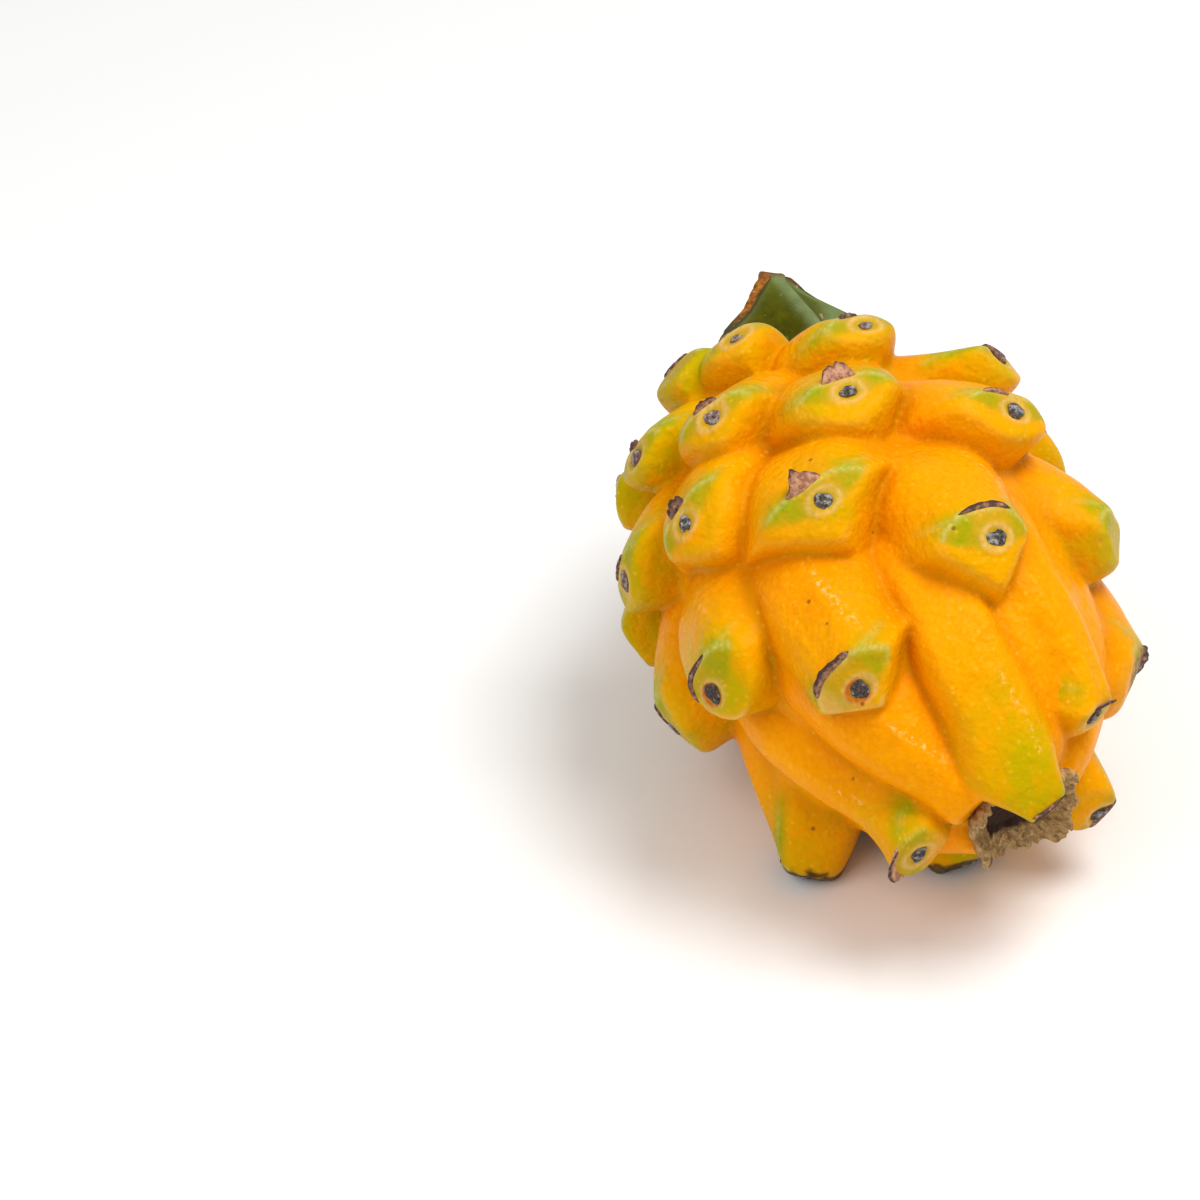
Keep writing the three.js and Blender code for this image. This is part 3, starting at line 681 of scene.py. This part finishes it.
# %% Root curves on the crests
def crest_curve(leaf, low, high, count):
    """Across the knob from q = low to high, the facet's upper edge: for each q, the last p
    where the facet still cuts the ridge. Returns points on the rind."""
    q = np.linspace(low, high, count)[:, None]
    p = np.linspace(0, 8, 81)[None, :]
    arc = leaf["arc"] - p
    radius = egg_radius(arc)
    relief, *_, cut = leaf_relief(leaf, arc, leaf["azimuth"] + q / radius, radius)
    faceted = cut > 0.1
    last = p.size - 1 - np.argmax(faceted[:, ::-1], axis=1)
    back = p[0][np.where(faceted.any(axis=1), last, np.argmax(relief, axis=1))]
    back = np.convolve(np.pad(back, 3, mode="edge"), np.ones(7) / 7, mode="valid")
    arc = leaf["arc"] - back
    radius = egg_radius(arc)
    azimuth = leaf["azimuth"] + q[:, 0] / radius
    return lifted(arc, azimuth, rind_field(arc, azimuth)["height"])


one_root = crest_curve(FACETED[0], -2, 2, 5)
print("a root curve 4 mm across is, mm:", np.round(np.linalg.norm(np.ptp(one_root, 0)), 1))

# %% Sizes of the scales
# leaf number: from and to across the knob, height, place of the tip (0..1), lean back in
# degrees, and how dark it is
OWN_SCALES = {
    0: (-1.2, 3.4, 3.4, 0.56, 56, 0.2), 5: (-3, 3.4, 0.8, 0.5, 55, 0.85),
    8: (-2.2, 4.4, 1.6, 0.6, 35, 0.75), 3: (-3.8, 3.2, 0.6, 0.6, 45, 0.9),
    -8: (-1.7, 2.1, 2.5, 0.35, 42, 0.15), -5: (-1.3, 1.4, 1.9, 0.5, 48, 0.9),
    -13: (-1.5, 1.8, 1.5, 0.5, 55, 0.85), -16: (-0.2, 1.9, 0.9, 0.4, 60, 0.95),
    -21: (-1.4, 1.4, 1.2, 0.5, 60, 0.4), -2: (-3, 3.6, 0.9, 0.5, 70, 1),
    -26: (-1.6, 1.8, 0.7, 0.5, 50, 1), -18: (-0.9, 0.9, 1, 0.5, 40, 0.95),
    -10: (-2.2, 2, 0.6, 0.5, 50, 1),
    -3: (0, 3.4, 0.6, 0.5, 65, 0.5), -11: (-2.5, 2.5, 0.7, 0.4, 60, 0.95),
    10: (-2.2, 1.4, 1.3, 0.3, 20, 0.8), 7: (-2.8, 3, 1.7, 0.4, 30, 0.9),
    12: (-2.6, 2.6, 1.2, 0.4, 45, 0.85), 11: (-2.2, 3.4, 1.6, 0.8, 30, 0.25),
    13: (-3.4, 1.8, 0.6, 0.5, -35, 0.9), 9: (-3, 3, 1, 0.5, 40, 1),
    6: (-2.2, 5, 2, 0.35, 35, 1),
}
# leaves that lost their scale
BARE_LEAVES = [-24, -19, -12, -9, -4, 1, 2, 4]


def scale_sizes(leaf):
    """The sizes above, or seeded ones: a third are broad, a third edges, the rest stubs."""
    number = leaf["number"]
    if number in OWN_SCALES:
        return OWN_SCALES[number]
    kind, a, b, c = (float(draw(number, n)) for n in (21, 22, 23, 24))
    if kind > 0.3:
        return -2.4 + a, 2.8 + a, 2.8 + 0.8 * b, 0.5 + 0.2 * c, 50, 0.4 + 0.3 * a
    if kind > -0.3:
        return -3 + a, 3 + a, 1.3 + 0.3 * b, 0.5 + 0.2 * c, 62, 0.7 + 0.2 * a
    return -1.4 + a, 1.5 + a, 1.8 + 0.6 * b, 0.5 + 0.2 * c, 48, 0.8 + 0.2 * a


print("a seeded scale:", np.round(scale_sizes(dict(number=-20)), 2))

# %% One scale as a closed sheet
SCALE_U, SCALE_V = 17, 8
TALL_SCALE = 3.2


def scale_sheet(leaf):
    """A sheet over its root curve: point(u, v) = root(u) + height(u) times the path of a
    curl in v, where height(u) falls from the tip to both ends, straight on a tall scale and
    late on a low one. Front and back are returned as one closed ring per u."""
    low, high, height, tip_at, lean, dark = scale_sizes(leaf)
    number = leaf["number"]
    roots = crest_curve(leaf, low, high, SCALE_U)
    _, out, to_stem, _ = (a[0] for a in local_frames([leaf], back=2.0, across=(low + high) / 2))
    u = np.linspace(0, 1, SCALE_U)
    ends = np.minimum(u, 1 - u)
    reach = np.where(u < tip_at, u / tip_at, (1 - u) / (1 - tip_at))
    reach = reach ** (1.25 if height > TALL_SCALE else 0.4)
    ragged = 1 + 0.10 * np.sin(13 * u + number) + 0.08 * np.sin(29 * u + 2 * number)
    tall = height * (0.12 + 0.88 * reach) * ragged * ease(ends * 9 + 0.2)
    v = np.linspace(-0.5, 1, SCALE_V)[None, :]
    bend = (lean + (22 + 24 * draw(number, 25)) * v) * RAD
    step = np.stack([np.cos(bend), np.sin(bend)], -1) * np.gradient(v[0])[None, :, None]
    rise = np.cumsum(step, 1)
    rise = rise - (rise[:, 2:3] + rise[:, 3:4]) / 2
    flutter = 0.1 * height * np.sin(6 * u + number)[:, None] * np.clip(v, 0, 1)
    centre = roots[:, None] + tall[:, None, None] * (rise[..., :1] * out + rise[..., 1:] * to_stem)
    centre = centre + flutter[..., None] * to_stem - (np.clip(-v, 0, 1) * 1.4)[..., None] * out
    thick = (0.32 - 0.17 * np.clip(v, 0, 1))[..., None] * ease(ends * 9 + 0.25)[:, None, None]
    across = -out * np.sin(lean * RAD) + to_stem * np.cos(lean * RAD)
    loop = np.concatenate([centre + thick * across, (centre - thick * across)[:, ::-1]], 1)
    up = np.broadcast_to(np.clip(v, 0, 1), centre.shape[:2])
    return loop, np.concatenate([up, up[:, ::-1]], 1), dark


print("a scale has", 2 * SCALE_U * SCALE_V + 2, "points")

# %% All scales in one piece
scaled = [leaf for leaf in FACETED if leaf["number"] not in BARE_LEAVES]
sheets, high, dark = (np.array(part) for part in zip(*(scale_sheet(leaf) for leaf in scaled)))
scale_points = with_ends(sheets[:, 0].mean(1), sheets, sheets[:, -1].mean(1))
scales = make_piece(
    "leaf_scales", held_up(on_table(scale_points)),
    copies(ring_faces(SCALE_U, 2 * SCALE_V), *scale_points.shape[:2]),
    {"high": np.pad(high.reshape(len(scaled), -1), ((0, 0), (1, 1))),
     "dark": np.repeat(dark, scale_points.shape[1])})

# %% [markdown]
# ## The stem stub
#
# The fruit is cut with a piece of the cactus stem. That stem has three wings, so its section
# is a three-pointed star with hollow sides. The wings shrink towards the cut, and one has a
# corky edge. A box could be pulled into this shape by hand. Here a section with its three
# reaches is worked out at each level along the axis, which keeps the wings' lines smooth.

# %% Section and levels of the stub
# the axis, the side that angles are counted from, the length in mm, and the levels as shares
STEM_AXIS = np.array([-0.81, 0.517, 0.277])
STEM_SIDE = np.array([0.446, 0.888, 0.114])
STEM_LENGTH = 22.0
STEM_LEVELS = [-0.2, 0, 0.3, 0.5, 0.66, 0.8, 0.86, 0.888, 0.916, 0.944, 1]
# each wing's angle in degrees, and its reach at each level in mm
STEM_WINGS = [
    (-36, [10, 11, 11.8, 10.9, 7.5, 4.7, 3.4, 2.8, 2, 1.6, 1.2]),
    (28, [13, 14, 15, 15, 15, 15.3, 15.3, 13, 7.5, 5.3, 2.4]),
    (186, [9, 9, 8.4, 7, 4.9, 4, 3.7, 3.6, 3.5, 3.3, 3.1]),
]
STEM_ROWS, EDGE_STEPS, FACE_STEPS = 44, 6, 22


def stem_rings():
    """At each level, in a plane of complex numbers, the wing edges are round noses at their
    reach, and each face runs straight between two noses, sunk by a tenth at its middle."""
    share = np.linspace(-0.2, 1, STEM_ROWS)[:, None]
    turn = np.linspace(-np.pi / 2, np.pi / 2, EDGE_STEPS)[None, :]
    t = (np.arange(1, FACE_STEPS + 1) / (FACE_STEPS + 1))[None, :]
    wings, loops, edges, which = [], [], [], []
    for angle, reach in STEM_WINGS:
        reach = np.interp(share, STEM_LEVELS, reach)
        wings.append((np.exp(1j * angle * RAD), reach, np.minimum(0.7, 0.3 + 0.3 * reach)))
    for n, (way, reach, half) in enumerate(wings):
        next_way, next_reach, next_half = wings[(n + 1) % 3]
        start = way * (reach - half + 1j * half)
        stop = next_way * (next_reach - next_half - 1j * next_half)
        loops += [way * (reach - half + half * np.exp(1j * turn)),
                  (1 - 0.4 * t * (1 - t)) * (start + (stop - start) * t)]
        edges += [1 + 0 * share * turn, bell(np.minimum(t, 1 - t) * abs(stop - start), 0, 1.3)]
        which += [n + 0 * share * turn, np.where(t < 0.5, n, (n + 1) % 3) + 0 * share]
    return share, *(np.concatenate(parts, 1) for parts in (loops, edges, which))


stem_share, stem_plane, stem_edge, stem_wing = stem_rings()
print("the stub's wings reach up to, mm:", round(float(abs(stem_plane).max()), 1))

# %% The stub in its place
RIGHT_WING, CORKY_WING = 1, 2
axis = unit(STEM_AXIS)
side = unit(STEM_SIDE - axis * (STEM_SIDE @ axis))
square = np.cross(axis, side)
pole = np.array([BODY_CENTRE - BODY_STEM_REACH, 0, 0])
away = stem_plane.real[..., None] * side + stem_plane.imag[..., None] * square
stem_loop = pole + (stem_share * STEM_LENGTH)[..., None] * axis + away
cork_share = 0.35 + 0.65 * ease((stem_share - 0.5) / 0.35)
corky = stem_edge * (
    (stem_wing == CORKY_WING) * cork_share + (stem_wing == RIGHT_WING) * 0.3 + 0.15)
bark = waves(stem_loop, 5, 31) * 0.14 + waves(stem_loop, 1.6, 32) * 0.12 * corky
stem_loop = stem_loop + (bark / np.maximum(abs(stem_plane), 1))[..., None] * away
root, cut = pole + axis * STEM_LENGTH * STEM_LEVELS[0], pole + axis * (STEM_LENGTH + 0.2)
pad = lambda values: np.pad((values + 0 * stem_edge).ravel(), 1, mode="edge")
# painted light: the faces beside the right wing are painted pale as if lit
painted_light_wing = 0.95 * blurred(1.0 * (stem_wing == RIGHT_WING), 12)
stem = make_piece(
    "stem_stub", on_table(with_ends(root, stem_loop, cut)),
    [face[::-1] for face in ring_faces(STEM_ROWS, stem_plane.shape[1])],
    {"edge": pad(np.maximum(stem_edge, painted_light_wing)), "cork": pad(corky), "up": pad(stem_share)})

# %% [markdown]
# ## The flower scar
#
# The flower dries and breaks off above the fruit and leaves a brown fibrous collar, like a
# torn funnel. A cloth simulation could crumple one, but the result would be hard to steer.
# Here a profile of radius and height is turned round the axis. Waves tear its rim, and
# grooves for the fibres run from the seat to the rim.

# %% Rings of the collar
# radius and place along the axis, mm, from the seat over the rim into the hollow
SCAR_PROFILE = np.array([
    [4.6, 38.6], [5.2, 39], [6.6, 40.4], [7.8, 42.2], [8.8, 44.2], [9.1, 45.4], [8.6, 45.9],
    [7.7, 45.2], [6.6, 43.6], [5.4, 42.2], [4.4, 41.2], [3.2, 40.8], [1.5, 40.6]])
SCAR_ROWS, SCAR_COLUMNS = 60, 150
SEAT, HOLLOW = np.array([[38.6, 0, 0], [40.5, 0, 0]])


def scar_rings():
    """Radius and height from the profile; torn(row) is largest at the rim, and waves in the
    azimuth move the rim up and down, while fine ones groove the surface."""
    t = np.linspace(0, len(SCAR_PROFILE) - 1, SCAR_ROWS)
    r = np.interp(t, range(len(SCAR_PROFILE)), SCAR_PROFILE[:, 0])[:, None]
    x = np.interp(t, range(len(SCAR_PROFILE)), SCAR_PROFILE[:, 1])[:, None]
    torn = bell(t, 6, 3)[:, None]
    a = 2 * np.pi * np.arange(SCAR_COLUMNS)[None, :] / SCAR_COLUMNS
    lobes = 0.06 * np.sin(2 * a + 0.6) + 0.05 * np.sin(5 * a + 1)
    tears = (0.8 * np.sin(3 * a + 2.4) + 0.45 * np.sin(8 * a) + 0.3 * np.sin(13 * a + 1)
             + 0.25 * np.sin(29 * a + 2) + 0.18 * np.sin(47 * a))
    fibres = 0.14 * np.sin(37 * a + 3 * np.sin(0.6 * t[:, None])) + 0.1 * np.sin(61 * a + t[:, None])
    bump_at = lambda degrees, wide: bell(a / RAD, degrees, wide)
    lobes = lobes - 0.14 * bump_at(105, 25) + 0.34 * bump_at(320, 17)
    tears = tears - 2.9 * bump_at(195, 34) - 1.2 * bump_at(320, 17)
    r = r * (1 + (0.3 + 0.7 * torn) * lobes) + fibres * (0.4 + torn)
    x = x + torn * tears
    # how deep into the hollow a ring lies, for the painted shade
    inside = ease((t - 7.6) / 2.2)[:, None] + 0 * a
    return np.stack([x, -r * np.sin(a), r * np.cos(a)], -1), inside


scar_loop, scar_hollow_shade = scar_rings()
scar_loop = scar_loop + 0.2 * np.stack([waves(scar_loop, 2.2, s) for s in (41, 42, 43)], -1)
scar = make_piece(
    "flower_collar", on_table(with_ends(SEAT, scar_loop, HOLLOW)),
    ring_faces(SCAR_ROWS, SCAR_COLUMNS), {"inside": np.concatenate([[0], scar_hollow_shade.ravel(), [1]])})

# %% [markdown]
# ## Finishes
#
# Image textures would stretch over the knobs. So every finish is worked out by nodes, from
# the piece's own coordinates and the values stored at its points. A small class keeps the
# node trees short: a finish is a base colour and a stack of thin coats over it.

# %% Node helpers
class Finish:
    """One finish's node tree, with short ways to add nodes to it."""

    def __init__(self, name):
        """Starts with the shader alone and the piece's own coordinates."""
        self.material = bpy.data.materials.new(name)
        self.material.use_nodes = True
        self.tree = self.material.node_tree
        self.shader = self.tree.nodes["Principled BSDF"]
        self.place = self.node("ShaderNodeTexCoord").outputs["Object"]

    def node(self, kind, **settings):
        """Adds a node of a kind, with its settings."""
        made = self.tree.nodes.new(kind)
        for key, value in settings.items():
            setattr(made, key, value)
        return made

    def join(self, source, socket):
        """Links an output to a socket, or sets a plain value; a colour is made opaque."""
        if isinstance(source, bpy.types.NodeSocket):
            self.tree.links.new(source, socket)
        else:
            socket.default_value = (*source, 1) if socket.type == "RGBA" else source

    def set(self, node, **values):
        """Joins values to the node's sockets, where From_Min names the socket "From Min"."""
        for key, value in values.items():
            self.join(value, node.inputs[key.replace("_", " ")])
        return node

    def noise(self, scale, detail=3.0, roughness=0.55, stretch=None, distortion=0.0):
        """Noise with that many cells per metre; stretch scales the axes apart."""
        place = self.place
        if stretch:
            mapping = self.node("ShaderNodeMapping")
            place = self.set(mapping, Scale=stretch, Vector=place).outputs["Vector"]
        made = self.set(self.node("ShaderNodeTexNoise"), Vector=place, Scale=scale,
                        Detail=detail, Roughness=roughness, Distortion=distortion)
        return made.outputs["Fac"]

    def spread(self, source, low, high, to_low=0.0, to_high=1.0):
        """Stretches low..high to to_low..to_high and holds it there."""
        made = self.set(self.node("ShaderNodeMapRange", clamp=True), Value=self.output(source),
                        From_Min=low, From_Max=high, To_Min=to_low, To_Max=to_high)
        return made.outputs["Result"]

    def output(self, part):
        """For a name, the value stored under it at the mesh's points, else the part itself."""
        if isinstance(part, str):
            return self.node("ShaderNodeAttribute", attribute_name=part).outputs["Fac"]
        return part

    def combined(self, operation, *parts):
        """The parts, which are names, outputs or numbers, multiplied or added."""
        total, *rest = (self.output(part) for part in parts)
        for part in rest:
            made = self.node("ShaderNodeMath", operation=operation)
            self.join(total, made.inputs[0])
            self.join(part, made.inputs[1])
            total = made.outputs["Value"]
        return total

    def spots(self, scale, near, far, few, all_):
        """Round spots in some of that many cells per metre: 1 within near of a cell's middle
        and 0 past far, in the cells whose seeded tone is over few, fully over all_."""
        cells = self.set(self.node("ShaderNodeTexVoronoi"), Vector=self.place, Scale=scale)
        return self.combined("MULTIPLY", self.spread(cells.outputs["Distance"], near, far, 1, 0),
                             self.spread(cells.outputs["Color"], few, all_))

    def coats(self, base, *coats):
        """Thin coats over the base, each a colour and the factors that say how thick it is."""
        factor_at, first_at, second_at, mixed_at = 0, 6, 7, 2
        for colour, *factors in coats:
            made = self.node("ShaderNodeMix", data_type="RGBA")
            self.join(self.combined("MULTIPLY", *factors), made.inputs[factor_at])
            self.join(base, made.inputs[first_at])
            self.join(colour, made.inputs[second_at])
            base = made.outputs[mixed_at]
        return base

    def bump(self, height, distance, strength=1.0, **below):
        """Tilts the surface by a height in metres; below is the Normal to start from."""
        made = self.set(self.node("ShaderNodeBump"), Height=height, Distance=distance,
                        Strength=strength, **below)
        return made.outputs["Normal"]

    def finished(self, **inputs):
        """Sets the shader's inputs by name and gives the material."""
        self.set(self.shader, **inputs)
        print(self.material.name + ":", len(self.tree.nodes), "nodes")
        return self.material


# %% [markdown]
# ### Waxy rind
#
# Ripe rind is orange-yellow, with painted shade in the valleys and creases and a painted
# highlight on the ridges. The tips of the knobs stay greenish, most of all in the corners of
# each facet, and the facet's front edge is pale; a painted highlight runs along its upper edge.
# Tips near the table and one dried front are dark brown. Pale pores, partly painted glints,
# pale dotted streaks painted as glints, a few brown specks and a soft peel texture cover it
# all. The skin is waxy, so its shine is weak and warm.

# %% Rind finish
def rind_finish():
    """Orange skin, then coats by the stored values times noise, then three sizes of bumps."""
    f = Finish("waxy_rind")
    broad, patches = f.noise(70, 3), f.noise(190, 4, 0.6)
    fine, grain = f.noise(1100, 4, 0.65), f.noise(2600, 3, 0.6)
    ripe = f.coats(
        (0.87, 0.28, 0),
        ((0.92, 0.335, 0), f.spread(broad, 0.35, 0.65)),
        ((0.95, 0.40, 0.003), f.spread(fine, 0.5, 0.7, 0, 0.5)),
        ((0.80, 0.255, 0), f.spread(fine, 0.5, 0.3, 0, 0.45)),
        # painted highlight: more yellow on the ridge tops
        ((0.94, 0.385, 0), "crown", 0.35),
        # painted shade: deeper orange in the valleys
        ((0.72, 0.22, 0), "valley", f.spread(patches, 0.2, 0.7, 0.7, 1)),
        # painted shade: dark brownish orange in the thin creases
        ((0.50, 0.15, 0), "crease", f.spread(patches, 0.3, 0.7, 0.05, 0.5)))
    unripe = f.coats(
        ripe,
        ((0.51, 0.36, 0), "tip", f.spread(patches, 0.3, 0.7, 0.35, 1.35), 0.85),
        ((0.43, 0.288, 0.01), "facet", f.spread(fine, 0.3, 0.7, 0.5, 0.85)),
        ((0.26, 0.32, 0), "green", f.spread(f.noise(420, 4, 0.65), 0.32, 0.66, 0.35, 1), 1.05),
        # painted highlight: pale olive along the facet's upper edge
        ((0.62, 0.53, 0.14), "upper", f.spread(fine, 0.3, 0.6, 0.1, 0.75)))
    worn = f.coats(
        unripe,
        ((0.74, 0.46, 0.16), "halo", f.spread(fine, 0.3, 0.6, 0.2, 0.8)),
        ((0.50, 0.075, 0), "scorched", 0.95),
        ((0.85, 0.49, 0.14), "front", f.spread(fine, 0.25, 0.6, 0.35, 0.9)),
        # dark brown on the tips near the table and on the dried fronts
        ((0.05, 0.022, 0.012), "dry", f.spread(patches, 0.3, 0.6, 0.7, 1)))
    specked = f.coats(
        worn,
        ((0.22, 0.05, 0.008), f.spots(150, 0.035, 0.065, 0.6, 0.64), 0.75),
        # painted highlight: pale glints dotted along one shoulder of each ridge
        ((0.95, 0.55, 0.16), "glint_streak", f.spread(f.noise(1300, 2), 0.52, 0.64)),
        # pale pores, partly painted glints
        ((0.97, 0.52, 0.035), f.spots(950, 0.1, 0.4, 0.35, 0.9), f.spread(patches, 0.3, 0.7, 0.1, 0.6)),
        ((0.30, 0.085, 0.01), f.spots(120, 0.03, 0.055, 0.5, 0.56), 0.85))
    normal = f.bump(f.noise(330, 2), 0.0010, 0.45)
    normal = f.bump(f.noise(800, 1.5, 0.5), 0.0005, 0.5, Normal=normal)
    return f.finished(
        Base_Color=specked, Roughness=f.spread(fine, 0.3, 0.7, 0.24, 0.42),
        Normal=f.bump(grain, 0.00012, 0.35, Normal=normal),
        Subsurface_Weight=0.05, Subsurface_Radius=(1, 0.4, 0.08), Subsurface_Scale=0.001,
        Specular_IOR_Level=0.045, Specular_Tint=(1, 0.9, 0.5))


# %% [markdown]
# ### Wool, scales, stem and flower
#
# These are small and dry, apart from the green stem, so they are rough and hardly shine. One
# noise per finish serves as the hairs, the veins or the fibres, both in colour and as bumps,
# so that colour and relief agree.

# %% Areole and scale finishes
def areole_finish():
    """Dark or purplish wool with grey and straw-coloured flecks, brown at its rim."""
    f = Finish("areole_wool")
    hairs = f.noise(3200, 3, 0.7)
    dark = f.coats((0.016, 0.011, 0.011), ((0.12, 0.09, 0.08), f.spread(hairs, 0.4, 0.62)))
    purple = f.coats((0.045, 0.016, 0.018), ((0.26, 0.13, 0.11), f.spread(hairs, 0.35, 0.6)))
    rim = f.combined("ADD", "rim", f.spread(hairs, 0.3, 0.7, -0.12, 0.12))
    wool = f.coats(
        dark,
        (purple, f.spread("tone", 0.35, 0.75)),
        ((0.40, 0.40, 0.36), f.spread("spots", -0.25, 0.6), f.spread(hairs, 0.36, 0.56)),
        ((0.22, 0.09, 0.035), f.spread(rim, 0.84, 1.0, 0, 0.85)))
    return f.finished(Base_Color=wool, Roughness=0.9, Normal=f.bump(hairs, 0.0003, 0.9))


def scale_finish():
    """Papery pinkish brown, veined along the blade, dark at the tip and where it is old."""
    f = Finish("dry_scale")
    veins = f.noise(1500, 3, 0.6, stretch=(0.4, 1.0, 1.0))
    tip = f.combined("MULTIPLY", f.spread("high", 0.62, 1.0), 0.85)
    dark = f.combined("ADD", tip, f.spread("dark", 0.25, 1.0, 0, 0.8))
    dark = f.combined("MULTIPLY", dark, f.spread(f.noise(1100, 3), 0.35, 0.6, 0.4, 1.3))
    papery = f.coats(
        (0.28, 0.10, 0.045),
        ((0.58, 0.29, 0.165), f.spread(veins, 0.38, 0.6)),
        ((0.045, 0.017, 0.011), f.spread(dark, 0.1, 0.9)))
    return f.finished(Base_Color=papery, Roughness=f.spread(veins, 0.3, 0.7, 0.6, 0.85),
                      Normal=f.bump(veins, 0.0003, 0.7))


# %% Stem and collar finishes
def stem_finish():
    """Dark green cactus skin, paler towards the wing edges and painted pale as if lit beside one wing,
    with orange-brown cork.
    """
    f = Finish("cactus_skin")
    patches, fine = f.noise(240, 4, 0.6), f.noise(1400, 3)
    cork = f.combined("MULTIPLY", "cork", f.spread(patches, 0.25, 0.6, 0.6, 1.3))
    bark = f.coats((0.14, 0.045, 0.010), ((0.40, 0.15, 0.02), f.spread(fine, 0.35, 0.65)))
    skin = f.coats(
        (0.038, 0.038, 0),
        ((0.08, 0.076, 0.001), f.spread(patches, 0.35, 0.65)),
        ((0.10, 0.118, 0.008), f.spread("up", 0.62, 0.95, 0, 0.8)),
        # pale wing edges, and painted light on the faces beside the right wing
        ((0.19, 0.25, 0.105), "edge", f.spread(patches, 0.3, 0.7, 0.5, 0.95)),
        ((0.045, 0.022, 0.008), f.spread(cork, 0.25, 0.5, 0, 0.8)),
        (bark, f.spread(cork, 0.62, 0.9)),
        ((0.16, 0.07, 0.03), f.spread("up", 0.95, 1)),
        ((0.42, 0.25, 0.17), f.spread(f.noise(620, 2), 0.69, 0.73, 0, 0.8)))
    return f.finished(Base_Color=skin, Roughness=f.spread(fine, 0.3, 0.7, 0.42, 0.62),
                      Normal=f.bump(fine, 0.0003, 0.7), Specular_IOR_Level=0.05)


def collar_finish():
    """Dry fibrous brown, streaked along the axis, with painted shade deep in the hollow."""
    f = Finish("dry_flower")
    fibres = f.noise(1400, 4, 0.65, stretch=(0.35, 1, 1), distortion=0.4)
    brown = f.coats(
        (0.17, 0.080, 0.022),
        ((0.66, 0.42, 0.17), f.spread(fibres, 0.3, 0.66)),
        ((0.36, 0.19, 0.06), f.spread(f.noise(500, 3), 0.5, 0.7, 0, 0.6)),
        # painted shade: near black deep in the hollow
        ((0.036, 0.0095, 0.0014), f.spread("inside", 0.2, 0.75)))
    return f.finished(Base_Color=brown, Roughness=0.92, Normal=f.bump(fibres, 0.0006, 0.9))


# %% [markdown]
# ## Putting it together
#
# The three pieces of the fruit grew as one, and the rind alone takes the place of the solid.
# All of them ride on the one body, as nothing on a fruit moves.

# %% Finish the pieces, put them on the body and hide the solids they replace
for piece, finish, slot, nodes in (
        (rind, rind_finish(), "rind", ["fruit"]),
        (areoles, areole_finish(), "rind", []),
        (scales, scale_finish(), "rind", []),
        (stem, stem_finish(), "stem_skin", ["stem"]),
        (scar, collar_finish(), "dry_flower", ["flower_scar"])):
    piece.data.materials.append(finish)
    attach(piece, "root")
    if nodes:
        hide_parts(*nodes)
print("pieces:", [o.name for o in (rind, areoles, scales, stem, scar)])

# %% [markdown]
# ## Table, light and camera
#
# A pale floor, a soft light above the fruit on its right, a weaker one on its left and a white
# surround: a hard lamp would leave black shadows between the knobs. The camera looks down at
# the fruit from the blossom end's side, from far off, so that near knobs don't loom.

# %% Floor and surround
FAR = 3.0
floor_mesh = bpy.data.meshes.new("floor")
floor_mesh.from_pydata([(-FAR, -FAR, 0), (FAR, -FAR, 0), (FAR, FAR, 0), (-FAR, FAR, 0)], [],
                       [(0, 1, 2, 3)])
floor = bpy.data.objects.new("floor", floor_mesh)
bpy.context.scene.collection.objects.link(floor)
floor_mesh.materials.append(
    Finish("pale_floor").finished(Base_Color=(0.9, 0.9, 0.89), Roughness=0.7))
floor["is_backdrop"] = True
world = bpy.data.worlds.new("white_room")
bpy.context.scene.world = world
world.use_nodes = True
surround = world.node_tree.nodes["Background"].inputs
surround["Color"].default_value = (1, 1, 1, 1)
surround["Strength"].default_value = 0.5
print("the floor reaches to, m:", FAR)

# %% Camera
AZIMUTH, ELEVATION, CAMERA_DISTANCE = 62.61 * RAD, 37.0 * RAD, 0.78
# frame width and focal length in pixels, and the sensor's width in mm
FRAME_WIDTH, FOCAL_LENGTH, SENSOR_WIDTH = 1200, 5200, 36
# how far the camera points to the left of the fruit and above it, in pixels
ASIDE, OVER = 284.1, 1.9
back = Vector((math.sin(AZIMUTH) * math.cos(ELEVATION), -math.cos(AZIMUTH) * math.cos(ELEVATION),
               math.sin(ELEVATION)))
right = Vector((0, 0, 1)).cross(back).normalized()
above = back.cross(right)
centre = Vector(FRUIT_CENTRE / 1000)
yaw, pitch = math.atan(ASIDE / FOCAL_LENGTH), math.atan(OVER / FOCAL_LENGTH)
facing = Matrix((right, above, back)).transposed()
camera = bpy.data.objects.new("camera", bpy.data.cameras.new("camera"))
bpy.context.scene.collection.objects.link(camera)
camera.data.sensor_width = SENSOR_WIDTH
camera.data.lens = SENSOR_WIDTH * FOCAL_LENGTH / FRAME_WIDTH
camera.data.clip_start = 0.05
turned = facing @ Matrix.Rotation(yaw, 3, "Y") @ Matrix.Rotation(pitch, 3, "X")
camera.matrix_world = Matrix.Translation(centre + back * CAMERA_DISTANCE) @ turned.to_4x4()
bpy.context.scene.camera = camera
print("lens, mm:", round(camera.data.lens, 1))


# %% Lights
def soft_light(name, place, size, watts):
    """A square area light at a place round the fruit, turned to face it."""
    lamp = bpy.data.objects.new(name, bpy.data.lights.new(name, "AREA"))
    lamp.data.size, lamp.data.energy = size, watts
    lamp.location = centre + place
    lamp.rotation_euler = (-place).to_track_quat("-Z", "Y").to_euler()
    bpy.context.scene.collection.objects.link(lamp)


soft_light("key", back * 0.42 + above * 0.52 + right * 0.26, size=0.36, watts=4.2)
soft_light("fill", back * 0.60 + above * 0.20 - right * 0.40, size=0.5, watts=1.65)
bpy.context.scene.view_settings.view_transform = "Standard"

# %% Bounds of the shown pieces
low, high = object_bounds()
